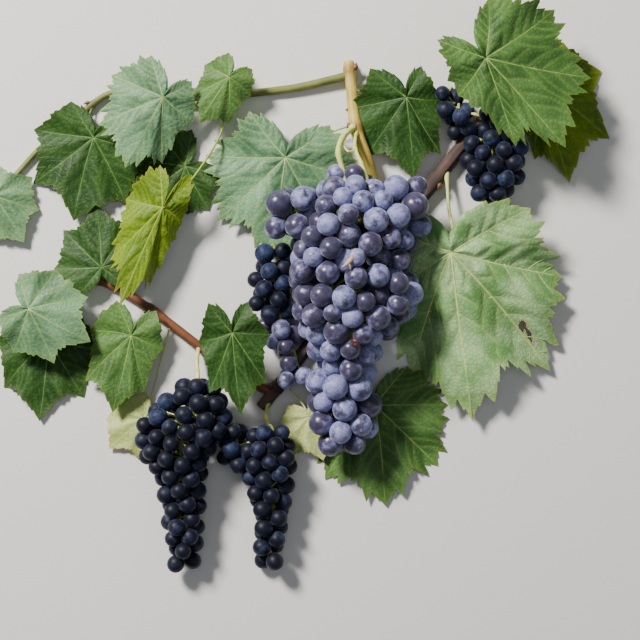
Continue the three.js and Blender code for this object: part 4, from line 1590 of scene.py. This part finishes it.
    def branch(self, degrees: float, foot: Array, lean: float, side: int, room: float) -> list[Array]:
        """Draws a vein from a main one towards the margin.

        Args:
            degrees: the main one's direction.
            foot: where it leaves the main one.
            lean: its direction there, in radians.
            side: 1 to the left of the main one, -1 to the right.
            room: degrees from the main one to half way to the next.

        Returns:
            Its flat points.
        """
        steps = [foot]
        for _ in range(self.BRANCH_STEPS):
            lean -= side * self.BRANCH_CURL
            step = steps[-1] + self.BRANCH_STEP * np.array([math.cos(lean), math.sin(lean)])
            turn = math.degrees(math.atan2(step[1], step[0]))
            rim = math.hypot(*step) / float(self.reach_of(np.array([turn]))[0])
            apart = abs((turn - degrees + 180) % 360 - 180)
            if rim > self.NET_RIM or apart > room + 2 or abs(turn) > self.STALK_BAY:
                break
            steps.append(step)
        return steps

    def build(self, finishes: tuple[bpy.types.Material, bpy.types.Material], veins: list) -> bpy.types.Object:
        """Builds the blade in place of its plain one.

        Args:
            finishes: those of its upper and lower side.
            veins: the leaf's larger veins.

        Returns:
            The piece.
        """
        spec = self.spec
        directions, teeth = self.margin()
        columns = len(directions) - 1
        step = self.RING_STEP if spec.teeth > 1 else self.PLAIN_RING_STEP
        rows = max(self.FEWEST_RINGS, round(spec.length / step))
        piece = rolled_sheet(
            f"{self.name}_blade", columns, rows,
            lambda u, v: np.stack([v * np.cos(2 * np.pi * u), v * np.sin(2 * np.pi * u), 0 * u], -1),
        )
        disc = read_points(piece)
        rim = np.hypot(disc[:, 0], disc[:, 1])
        column = (np.arctan2(disc[:, 1], disc[:, 0]) / (2 * np.pi)) % 1 * columns
        degrees = np.interp(column, np.arange(columns + 1), directions)
        out = np.interp(column, np.arange(columns + 1), teeth)
        reach = self.reach_of(degrees) * rim * (1 + out * rim**3)
        points = self.point(degrees, reach, rim)
        angle = np.radians(degrees)
        gap = self.from_veins(np.stack([reach * np.cos(angle), reach * np.sin(angle)], -1), veins)
        soft = 1 - hump(gap, 0, self.QUILT_SOFT)
        points = self.swelled(points, rim, self.QUILT * self.size * soft * (1 - rim**4))
        write_points(piece, to_row(points))
        rust, hole = np.zeros(len(points)), np.zeros(len(points), bool)
        for x, y, radius in spec.spots:
            off = np.hypot(points[:, 0] - x, points[:, 1] - y) / radius
            rust = np.maximum(rust, hump(off, 0, self.RUST_OUT))
            hole |= off + self.HOLE_RAGGED * noise(points, self.HOLE_NOISE, 4) < self.HOLE_OUT
        mark(piece, "vein", hump(gap, 0, self.VEIN_WIDTH))
        mark(piece, "edge", np.clip((rim - (1 - self.MARGIN)) / self.MARGIN, 0, 1) ** 2)
        mark(piece, "rust", rust)
        self.cut_holes(piece, hole)
        self.thicken(piece, finishes)
        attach(piece, "root")
        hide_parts(self.name)
        return piece

    def from_veins(self, flat: Array, veins: list) -> Array:
        """Measures how far flat places are from the nearest vein.

        Args:
            flat: shares of the length along and across the midrib.
            veins: the leaf's larger veins.

        Returns:
            The distances, in millimetres.
        """
        start = np.vstack([line[:-1] for line, _, _ in veins])
        way = np.vstack([np.diff(line, axis=0) for line, _, _ in veins])
        nearest = np.zeros(len(flat))
        for k in range(0, len(flat), self.BATCH):
            off = flat[k:k + self.BATCH, None] - start
            along = np.clip((off * way).sum(-1) / (way**2).sum(-1), 0, 1)
            nearest[k:k + self.BATCH] = np.linalg.norm(off - along[..., None] * way, axis=-1).min(1)
        return nearest * self.spec.length

    def cut_holes(self, piece: bpy.types.Object, hole: Array) -> None:
        """Deletes the vertices of the blade's holes.

        Args:
            piece: the blade.
            hole: tells for each vertex whether it is in one.
        """
        if not hole.any():
            return
        alone(piece)
        bpy.ops.object.mode_set(mode="EDIT")
        bpy.ops.mesh.select_mode(type="VERT")
        bpy.ops.mesh.select_all(action="DESELECT")
        bpy.ops.object.mode_set(mode="OBJECT")
        piece.data.vertices.foreach_set("select", hole)
        bpy.ops.object.mode_set(mode="EDIT")
        bpy.ops.mesh.delete(type="VERT")
        bpy.ops.object.mode_set(mode="OBJECT")

    def thicken(
        self, piece: bpy.types.Object, finishes: tuple[bpy.types.Material, bpy.types.Material]
    ) -> None:
        """Turns the blade's faces up and gives it its thickness.

        Args:
            piece: the blade.
            finishes: those of its upper and lower side.
        """
        alone(piece)
        faces = piece.data.polygons
        up = sum((np.array(face.normal) * face.area for face in faces), np.zeros(3)) @ self.normal
        if up < 0:
            edit_all(bpy.ops.mesh.flip_normals)
        for finish in finishes:
            piece.data.materials.append(finish)
        solid = piece.modifiers.new("thickness", "SOLIDIFY")
        solid.thickness = self.THICK * MM
        solid.offset = 0
        solid.material_offset = 1
        bpy.ops.object.modifier_apply(modifier=solid.name)
        bpy.ops.object.shade_smooth_by_angle(angle=self.SHARP)

    def ribs(self, veins: list) -> list[Shape]:
        """Models the ribs, which stand out of both sides of the blade.

        Args:
            veins: the leaf's larger veins.

        Returns:
            A tube for each.
        """
        shapes = []
        for flat, first, last in veins:
            rings = max(4, min(14, len(flat)))
            line = Line(self.on_blade(flat[:: max(1, len(flat) // 8)]))
            rib = Shape.tube(line, lambda s, a=first, b=last: (a + (b - a) * s) + self.RIB_OUT, 5, rings)
            rib.dress = int(flat[0] @ flat[0] > 0)
            shapes.append(rib)
        return shapes

    def stalk(self, canes: dict[str, Cane]) -> Shape:
        """Models the stalk.

        Args:
            canes: all the canes.

        Returns:
            A tube from its cane to the blade, wider at both ends.
        """
        spec = self.spec
        radius = max(1.0, spec.length * LEAF_STALK_RADIUS)
        cane, share = spec.start
        start = canes[cane].leave(share, np.array(spec.by[0]))
        line = Line([start, *spec.by, self.junction - 0.2 * radius * self.normal])
        return Shape.tube(
            line, lambda s: radius * (0.62 + 0.5 * hump(s, 0, 0.08) + 0.35 * hump(s, 1, 0.12)), 10, 36,
        )


# Bunches


class Bunch:
    """A bunch by the bunch's rule, with its berries, stems and the marks on their skins."""

    SPIRAL_STRAY = 0.5  # the most that a berry's place is turned on, in radians
    NEARBY = 30  # how far from the berries a thing still matters, in millimetres like all measures here
    INNER_PULL = 0.3  # share of the way out to REACH_INNER that inner berries move at a time
    BLADE_ROUND = 1.2  # how far from its junction a blade matters, as a share of its length
    HANG = np.array([0, -0.35, 0])  # how much the berries point down the bunch
    HANG_STRAY = 0.7  # how much they point anywhere
    TURN = 6.28  # the most that a berry is spun, in radians
    DUST_SPREAD = 0.75  # between the barest and the dustiest berry of a bunch

    # The berry of radius one
    LONG = 1.03
    POLE, DIMPLE_WIDTH, NECK_WIDTH = 0.05, 0.012, 0.03  # how deep its dimple and how high its neck is
    NARROWER = 0.03  # towards its stalk
    MARK_RADIUS = 0.085

    # Stems
    FORK_EVERY = 4  # berries
    FORK_OUT = 0.42  # share of the way from the middle to a berry
    FORK_UP, BEND_UP, ROOT_UP = np.array([0, 3.0, 0]), np.array([0, 2.0, 0]), np.array([0, 11.0, 0])
    MARK_SHARE, FOOT_SHARE = 0.985, 0.97  # of the radius, where a mark and a stalk's end sit in the skin

    def __init__(self, name: str, spec: BunchSpec) -> None:
        """Takes a bunch from the table.

        Args:
            name: its name.
            spec: its row.
        """
        self.name = name
        self.spec = spec
        self.at = np.zeros((0, 3))
        self.radius = np.zeros(0)
        self.lobe = np.zeros(0, int)

    @staticmethod
    def section(stations: Array, y: Array) -> Array:
        """Reads a lobe's outline between its stations.

        Args:
            stations: rows of X, Y, Z, half width and half depth.
            y: the heights to read it at.

        Returns:
            Rows of X and Z of its middle, its half width and its half depth.
        """
        i = np.clip((stations[:, 1][None] <= y[:, None]).argmax(1) - 1, 0, len(stations) - 2)
        i = np.where((stations[:, 1][None] <= y[:, None]).any(1), i, 0)
        above, below = stations[i], stations[i + 1]
        share = np.clip((y - above[:, 1]) / (below[:, 1] - above[:, 1]), 0, 1)[:, None]
        return (above + (below - above) * share)[:, [0, 2, 3, 4]]

    def spiral(self) -> Array:
        """Places the berries on golden spirals down the lobes.

        Returns:
            For each, the share of the outline that it stays in.
        """
        draw = Draws(self.spec.seed)
        rows, reaches = [], []
        for number, lobe in enumerate(self.spec.lobes):
            stations = np.array(lobe.stations, float)
            top, bottom = stations[0, 1], stations[-1, 1]
            slices = top + (bottom - top) * np.arange(SLICES + 1) / SLICES
            girths = self.section(stations, slices)[:, 2:].sum(1)
            whole, covered, place = girths.sum(), girths[0], 0
            for i in range(lobe.count):
                while covered < (i + 0.5) / lobe.count * whole:
                    place += 1
                    covered += girths[place]
                radius = lobe.berry + self.spec.spread * (draw() + draw() - 1)
                reach = REACH_LOW + (REACH_HIGH - REACH_LOW) * draw()
                angle = i * GOLDEN_ANGLE + self.SPIRAL_STRAY * draw()
                y = min(max(slices[place], bottom + radius), top - radius)
                x, z, width, depth = self.section(stations, np.array([y]))[0]
                across, up = (width - radius) * math.cos(angle), (depth - radius) * math.sin(angle)
                rows.append((x + across, y, z + up, radius, number))
                reaches.append(reach)
        table = np.array(rows)
        self.at, self.radius, self.lobe = table[:, :3], table[:, 3], table[:, 4].astype(int)
        return np.array(reaches)

    def settle(self, beads: tuple[Array, Array], leaves: list[Leaf], others: tuple[Array, Array]) -> None:
        """Lets the berries push each other apart, off the floor, the canes, the leaves and other berries.

        Args:
            beads: the canes' beads.
            leaves: all the leaves.
            others: the berries placed before.
        """
        reach = self.spiral()
        low, high = self.at.min(0) - self.NEARBY, self.at.max(0) + self.NEARBY

        def nearby(at: Array, size: float = 0) -> bool:
            """Tells whether a thing of a size is nearby."""
            return bool((at > low - size).all() and (at < high + size).all())

        near = [(at, r * BERRY_PRESS) for at, r in zip(*others) if nearby(at)]
        canes = [(at, r) for at, r in zip(*beads) if nearby(at)]
        blades = [leaf for leaf in leaves if nearby(leaf.junction, leaf.spec.length)]
        both = (self.radius[:, None] + self.radius) * BERRY_PRESS
        for relaxing in range(RELAX_ROUNDS + LOOSE_ROUNDS):
            away = self.at[:, None] - self.at
            apart = np.maximum(np.linalg.norm(away, axis=-1), TINY)
            short = np.clip(both - apart, 0, None)
            np.fill_diagonal(short, 0)
            self.at = self.at + (away * (short * RELAX_STEP / apart)[..., None]).sum(1)
            if relaxing < RELAX_ROUNDS:
                self.hold_in(reach)
            for at, r in near:
                self.push_off(at, r)
            for leaf in blades:
                self.push_off_leaf(leaf)
            for at, r in canes:
                self.push_off(at, r)
            self.at[:, 2] = np.maximum(self.at[:, 2], self.radius + LIFT)
        kept = np.ones(len(self.at), bool)
        for at, r in canes:
            kept &= np.linalg.norm(self.at - at, axis=1) >= self.radius + r - MEETS
        self.at, self.radius, self.lobe = self.at[kept], self.radius[kept], self.lobe[kept]

    def hold_in(self, reach: Array) -> None:
        """Keeps the berries near their lobe's outline.

        Args:
            reach: for each berry, the share of the outline that it stays in.
        """
        for number, lobe in enumerate(self.spec.lobes):
            own = self.lobe == number
            stations = np.array(lobe.stations, float)
            at, radius, far = self.at[own], self.radius[own], reach[own]
            at[:, 1] = np.clip(at[:, 1], stations[-1, 1] + radius, stations[0, 1] - radius)
            x, z, width, depth = self.section(stations, at[:, 1]).T
            w, d = np.maximum(width - radius, 1), np.maximum(depth - radius, 1)
            out = np.maximum(np.hypot((at[:, 0] - x) / w, (at[:, 2] - z) / d), TINY)
            inner = 1 + (REACH_INNER / out - 1) * self.INNER_PULL
            pull = np.where(out > far, far / out, np.where(out < REACH_INNER, inner, 1))
            at[:, 0] = x + (at[:, 0] - x) * pull
            at[:, 2] = z + (at[:, 2] - z) * pull
            self.at[own] = at

    def push_off(self, point: Array, radius: float) -> None:
        """Pushes the berries off a ball.

        Args:
            point: its middle.
            radius: its radius.
        """
        away = self.at - point
        apart = np.maximum(np.linalg.norm(away, axis=1), TINY)
        short = np.clip(self.radius + radius - apart, 0, None)
        self.at = self.at + away * (short / apart)[:, None]

    def push_off_leaf(self, leaf: Leaf) -> None:
        """Keeps the berries over or under a blade.

        Args:
            leaf: the blade's leaf.
        """
        flat = (self.at - leaf.junction) @ leaf.turned
        half = (flat[:, 1] <= 0).astype(int)
        bend = leaf.bends[half]
        across = flat[:, 1] / np.cos(bend) / leaf.width[half]
        reach = np.hypot(flat[:, 0], across) / leaf.spec.length
        degrees = np.degrees(np.arctan2(across, flat[:, 0]))
        rim = reach / leaf.reach_of(degrees)
        there = (reach <= self.BLADE_ROUND) & (rim <= 1 + self.radius / leaf.spec.length)
        if not there.any():
            return
        blade = leaf.point(degrees[there], reach[there], np.minimum(rim[there], 1))
        middle = np.array([
            self.section(np.array(self.spec.lobes[n].stations, float), np.array([y]))[0, 1]
            for n, y in zip(self.lobe[there], self.at[there, 1])
        ])
        side = np.where(blade[:, 2] < middle, 1, -1)
        off = ((self.at[there] - blade) @ leaf.normal) * np.cos(bend[there]) * side
        short = np.clip(self.radius[there] + leaf.thickness / 2 + GAP - off, 0, None)
        self.at[there] += (short * side / np.cos(bend[there]))[:, None] * leaf.normal

    def axes(self) -> tuple[Array, Array]:
        """Works out which way the berries point.

        Returns:
            For each berry, its direction, outwards and a little down the bunch, and the middle it hangs from.
        """
        middles = np.zeros_like(self.at)
        for number, lobe in enumerate(self.spec.lobes):
            own = self.lobe == number
            stations = np.array(lobe.stations, float)
            end = self.radius[own] * CORE_SINK + 1
            y = np.clip(self.at[own, 1], stations[-1, 1] + end, stations[0, 1] - end)
            x, z = self.section(stations, y)[:, :2].T
            middles[own] = np.stack([x, y, z], -1)
        draw = Draws(self.spec.seed + 5)
        stray = np.array([[draw() - 0.5 for _ in range(3)] for _ in self.at])
        return unit(unit(self.at - middles) + self.HANG + self.HANG_STRAY * stray), middles

    def top_at(self, x: float, y: float) -> float:
        """Finds the bunch's upper side.

        Args:
            x: the place's X on the sheet.
            y: the place's Y.

        Returns:
            The height of the berries' skin there, or of the nearest berry's middle where there is none.
        """
        off = np.hypot(self.at[:, 0] - x, self.at[:, 1] - y)
        inside = off < self.radius
        if not inside.any():
            return float(self.at[off.argmin(), 2])
        rise = np.sqrt(self.radius[inside] ** 2 - off[inside] ** 2)
        return float((self.at[inside, 2] + rise).max())

    def berries(self, lit: list[bpy.types.Material], dark: list[bpy.types.Material]) -> bpy.types.Object:
        """Builds the berries from one that is modelled once, and deals them the levels of their skin.

        Args:
            lit: the levels of the dusty berries.
            dark: the levels of a darker copy of the skin, painted shade.

        Returns:
            The piece.
        """
        berry = self.model_berry(self.spec.segments)
        axes, _ = self.axes()
        draw = Draws(self.spec.seed + 9)
        shapes = []
        for at, radius, axis in zip(self.at, self.radius, axes):
            shape = berry.placed(at, radius, axis, self.TURN * draw())
            dust = self.spec.dust + self.DUST_SPREAD * (draw() - 0.5)
            level = min(range(len(lit)), key=lambda level: abs(DUST_LEVELS[level][0] - dust))
            # berries over the bunch's given Y wear the darker copy of the skin, which is painted shade
            shape.dress = level + (len(lit) if at[1] > self.spec.shade_painted_above else 0)
            shapes.append(shape)
        worn = sorted({shape.dress for shape in shapes})
        for shape in shapes:
            shape.dress = worn.index(shape.dress)
        piece = from_shapes(f"{self.name}_berries", shapes, [[*lit, *dark][dress] for dress in worn])
        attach(piece, "root")
        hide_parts(self.name)
        return piece

    @classmethod
    def model_berry(cls, segments: int) -> Shape:
        """Models a berry of radius one, with a dimple at its tip and a neck at its stalk.

        Args:
            segments: faces round it.

        Returns:
            The berry.
        """
        bpy.ops.object.select_all(action="DESELECT")
        bpy.ops.mesh.primitive_uv_sphere_add(segments=segments, ring_count=segments // 2, radius=1)
        start = bpy.context.object
        points = read_points(start)
        z = points[:, 2].copy()
        points[:, 2] *= cls.LONG
        points[:, 2] -= cls.POLE * hump(z, 1, cls.DIMPLE_WIDTH)
        points[:, 2] -= cls.POLE * hump(z, -1, cls.NECK_WIDTH)
        points[:, :2] *= (1 - cls.NARROWER * np.clip(-z, 0, 1) ** 2)[:, None]
        faces = [tuple(face.vertices) for face in start.data.polygons]
        bpy.data.objects.remove(start)
        return Shape(points, faces)

    def scars(self) -> list[Shape]:
        """Models the small dark mark at each berry's tip.

        Returns:
            The marks.
        """
        axes, _ = self.axes()
        dot = Shape.tube(
            Line([(0, 0, -0.05), (0, 0, 0.02), (0, 0, 0.05)]),
            lambda s: self.MARK_RADIUS * np.sqrt(np.clip(1 - s**2, 0.02, 1)), 8, 3,
        )
        return [
            dot.placed(at + axis * radius * self.MARK_SHARE, radius, axis, 0)
            for at, radius, axis in zip(self.at, self.radius, axes)
        ]

    def stems(self, canes: dict[str, Cane]) -> list[Shape]:
        """Models the bunch's stalks and each berry's own stalk.

        Args:
            canes: all the canes.

        Returns:
            A tube for each.
        """
        shapes = []
        for stalk in self.spec.stalks:
            points = [np.array(point, float) for point in stalk.path]
            if stalk.start:
                cane, share = stalk.start
                points.insert(0, canes[cane].leave(share, points[0]))
            knots = np.linspace(0, 1, len(points))
            shapes.append(Shape.tube(
                Line(points),
                lambda s, r=stalk.radius, k=knots: r * (
                    0.86 + 0.3 * hump(s[:, None], k, 0.05).sum(1) + 0.35 * hump(s, 0, 0.04)
                ),
                12, 40,
            ))
        axes, middles = self.axes()
        ends, starts = self.at[::self.FORK_EVERY], middles[::self.FORK_EVERY]
        forks = starts + self.FORK_OUT * (ends - starts) + self.FORK_UP
        for fork, start in zip(forks, starts):
            root = start + self.ROOT_UP
            bend = (root + fork) / 2 + self.BEND_UP
            shapes.append(Shape.tube(Line([root, bend, fork]), lambda s: 1.15 - 0.3 * s, 8, 8))
        for at, radius, axis in zip(self.at, self.radius, axes):
            foot = at - axis * radius * self.FOOT_SHARE
            fork = forks[np.linalg.norm(forks - foot, axis=1).argmin()]
            bend = (fork + foot) / 2 - axis * radius * 0.2
            shapes.append(Shape.tube(Line([fork, bend, foot]), self.pedicel, 6, 6))
        for shape in shapes[len(self.spec.stalks):]:
            shape.dress = 1
        return shapes

    @staticmethod
    def pedicel(share: Array) -> Array:
        """Returns the radius of a berry's own stalk, which widens at both ends."""
        return 0.7 + 0.85 * hump(share, 1, 0.16) + 0.2 * hump(share, 0, 0.1)


class Branch:
    """The whole branch: canes, leaves and bunches with their finishes."""

    RIBS_NEAR_GREEN, STEMS_NEAR_GREEN = 0.6, 0.7  # how near finer parts come to the green that bears them
    STEM_GREEN = (0.2, 0.3, 0.05)
    RAISINS = ((4, 44, 3.8), (22, -18, 3.8), (45, 70, 3.2))  # X, Y and radius, in millimetres
    RAISIN_ROUND = 6  # side of the square in which each finds the lowest place
    TWIG_PLACE = (21, 40)  # where the twig lies on the berries
    # The twig's stick and side twig, with Z from the berries' skin
    TWIG = (
        ((15, 36, -0.6), (18.5, 38.5, 0.6), (21.5, 42, 1.2), (23, 46, 0.4)),
        ((19, 39, 0.8), (20.5, 37, 0.9), (21, 34.5, 0)),
    )

    def __init__(self) -> None:
        """Works out every cane, leaf and bunch."""
        self.canes = {name: Cane(name, spec) for name, spec in CANES.items()}
        self.leaves = {name: Leaf(name, spec) for name, spec in LEAVES.items()}
        self.bunches = {name: Bunch(name, spec) for name, spec in BUNCHES.items()}
        beads = [cane.beads() for cane in self.canes.values()]
        all_beads = np.vstack([at for at, _ in beads]), np.concatenate([r for _, r in beads])
        placed, radii = np.zeros((0, 3)), np.zeros(0)
        for bunch in self.bunches.values():
            bunch.settle(all_beads, list(self.leaves.values()), (placed, radii))
            placed, radii = np.vstack([placed, bunch.at]), np.concatenate([radii, bunch.radius])
            LOG.info("%s settles with %d berries", bunch.name, len(bunch.at))

    def extra(
        self, name: str, shapes: list[Shape], finishes: Sequence[bpy.types.Material], slot: str
    ) -> None:
        """Joins small things into one piece of the branch.

        Args:
            name: the piece's name.
            shapes: the small things.
            finishes: the materials that they wear.
            slot: not used.
        """
        piece = from_shapes(name, shapes, finishes)
        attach(piece, "root")
        LOG.info("%s has %d faces", name, len(piece.data.polygons))

    def build_canes(self) -> None:
        """Builds the canes and their buds."""
        cut = CutFinish().make()
        for cane in self.canes.values():
            piece = cane.build(BARKS[cane.spec.bark].make(), cut)
            LOG.info("%s has %d faces", piece.name, len(piece.data.polygons))
        bud = StalkFinish("bud_scales", (0.2, 0.1, 0.04), (0.1, 0.045, 0.02)).make()
        buds = [shape for cane in self.canes.values() for shape in cane.buds()]
        self.extra("buds", buds, [bud], "old_cane")

    def build_leaves(self) -> None:
        """Builds the blades, and joins the ribs and stalks of each tone."""
        for tone, (top, back, rib, light) in LEAF_FINISHES.items():
            finishes, ribs, first = (top.make(), back.make()), [], None
            for leaf in self.leaves.values():
                if leaf.spec.tone is not tone:
                    continue
                veins = leaf.veins()
                piece = leaf.build(finishes, veins)
                ribs += [*leaf.ribs(veins), leaf.stalk(self.canes)]
                first = first or leaf.name
                LOG.info("%s has %d faces", piece.name, len(piece.data.polygons))
            self.extra(f"{tone.value}_ribs", ribs, rib.with_fine(light, self.RIBS_NEAR_GREEN), first)

    def build_bunches(self) -> None:
        """Builds the berries, stems and marks of every bunch."""
        lit = BerrySkin(
            "berry_skin", (0.35, 0.375, 0.7), (0.135, 0.15, 0.33), (0.17, 0.13, 0.26), (0.026, 0.018, 0.04),
            0.29, 0.52, 0.46,
        ).levels()
        # a darker copy of the berry skin with less shine and rim light: painted shade for berries that lie in
        # shade
        dark = BerrySkin(
            "painted_shade_berry_skin", (0.036, 0.058, 0.14), (0.011, 0.019, 0.053), (0.02, 0.019, 0.048),
            (0.0045, 0.005, 0.0125), 0.1, 0.22, 0.12,
        ).levels()
        scar = StalkFinish("berry_tip", (0.05, 0.03, 0.02), (0.02, 0.012, 0.01)).make()
        stem = StalkFinish("pale_stem", (0.76, 0.78, 0.24), (0.5, 0.58, 0.12))
        pale = stem.with_fine(self.STEM_GREEN, self.STEMS_NEAR_GREEN)
        for bunch in self.bunches.values():
            piece = bunch.berries(lit, dark)
            LOG.info("%s has %d faces", piece.name, len(piece.data.polygons))
            self.extra(f"{bunch.name}_stems", bunch.stems(self.canes), pale, bunch.name)
        tips = [shape for bunch in self.bunches.values() for shape in bunch.scars()]
        self.extra("berry_tips", tips, [scar], "main_bunch")
        self.dried_bits()

    def dried_bits(self) -> None:
        """Adds the main bunch's shrivelled berries and the dry twig caught in it."""
        bunch = self.bunches["main_bunch"]
        draw = Draws(77)
        ball = Bunch.model_berry(16)
        raisins = []
        for x, y, radius in self.RAISINS:
            near = [
                (x + self.RAISIN_ROUND * (draw() - 0.5), y + self.RAISIN_ROUND * (draw() - 0.5))
                for _ in range(24)
            ]
            low = min(near, key=lambda place: bunch.top_at(*place))
            at = np.array([*low, bunch.top_at(*low) + 0.2 * radius])
            shape = ball.placed(at, radius, unit(np.array([draw() - 0.5, draw() - 0.5, 1])), 0)
            wrinkles = 1 + 0.2 * noise(shape.points, 1.9, 2)
            shape.points = at + (shape.points - at) * wrinkles[:, None]
            raisins.append(shape)
        dry = StalkFinish("shrivelled_skin", (0.1, 0.022, 0.03), (0.045, 0.012, 0.024)).make()
        self.extra("shrivelled_berries", raisins, [dry], "main_bunch")
        lift = bunch.top_at(*self.TWIG_PLACE) * UP
        stick, side = (Line(np.array(points) + lift) for points in self.TWIG)
        twig = [
            Shape.tube(stick, lambda s: 0.7 + 1.1 * np.sin(np.clip(s, 0, 1) * 2.6) ** 2, 10, 16),
            Shape.tube(side, lambda s: 0.85 - 0.4 * s, 8, 10),
        ]
        tan = StalkFinish("dry_twig", (0.6, 0.42, 0.27), (0.4, 0.25, 0.14)).make()
        self.extra("dry_twig", twig, [tan], "main_bunch")


class Studio:
    """The floor, the lights and the camera."""

    HEIGHT = 1.15  # of the camera over the bunches' middle, in metres
    VIEW = 0.448  # side of the square that the picture shows there
    AIM = np.array([0.0, 0.0, 50.0])  # the sheet's point in the picture's middle, in millimetres
    SENSOR = 36  # its width, in millimetres
    FLOOR_SIDE = 6  # in metres
    SKY, SKY_STRENGTH = (0.9, 0.95, 1.0, 1), 0.11

    def build(self) -> None:
        """Sets up the floor, lights and camera."""
        self.floor()
        self.camera()
        self.light("key", (-1.0, 1.15, 1.35), 0.4, 90, (1.0, 0.96, 0.9))
        self.light("fill", (1.3, -0.5, 1.3), 1.6, 3, (0.88, 0.93, 1.0))
        self.light("top", (0.1, 0.1, 2.2), 1.4, 5, (0.96, 0.98, 1.0))
        world = bpy.data.worlds.new("studio")
        world.use_nodes = True
        sky = world.node_tree.nodes["Background"].inputs
        sky["Color"].default_value, sky["Strength"].default_value = self.SKY, self.SKY_STRENGTH
        bpy.context.scene.world = world

    def floor(self) -> None:
        """Lays the pale floor."""
        bpy.ops.object.select_all(action="DESELECT")
        bpy.ops.mesh.primitive_plane_add(size=self.FLOOR_SIDE)
        floor = bpy.context.object
        floor.name = "floor"
        paint = Paint("pale_floor")
        floor.data.materials.append(paint.finish(Base_Color=(0.78, 0.77, 0.75), Roughness=0.85))

    def camera(self) -> None:
        """Hangs the camera over the middle of the picture, looking straight down."""
        data = bpy.data.cameras.new("camera")
        data.sensor_width = self.SENSOR
        data.lens = self.SENSOR * self.HEIGHT / self.VIEW
        camera = bpy.data.objects.new("camera", data)
        camera.location = Vector(to_row(self.AIM)) + Vector((0, 0, self.HEIGHT))
        bpy.context.scene.collection.objects.link(camera)
        bpy.context.scene.camera = camera

    def light(self, name: str, at: tuple, size: float, power: float, colour: Colour) -> None:
        """Adds a soft square light that faces the branch.

        Args:
            name: its name.
            at: its place, in metres.
            size: its side, in metres.
            power: its power, in watts.
            colour: its colour.
        """
        data = bpy.data.lights.new(name, "AREA")
        data.size, data.energy, data.color = size, power, colour
        lamp = bpy.data.objects.new(name, data)
        lamp.location = at
        lamp.rotation_euler = (-Vector(at)).to_track_quat("-Z", "Y").to_euler()
        bpy.context.scene.collection.objects.link(lamp)


def main() -> None:
    """Builds the branch and its studio."""
    logging.basicConfig(level=logging.INFO, format="%(message)s")
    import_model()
    Studio().build()
    branch = Branch()
    branch.build_canes()
    branch.build_leaves()
    branch.build_bunches()


if __name__ == "__main__":
    main()
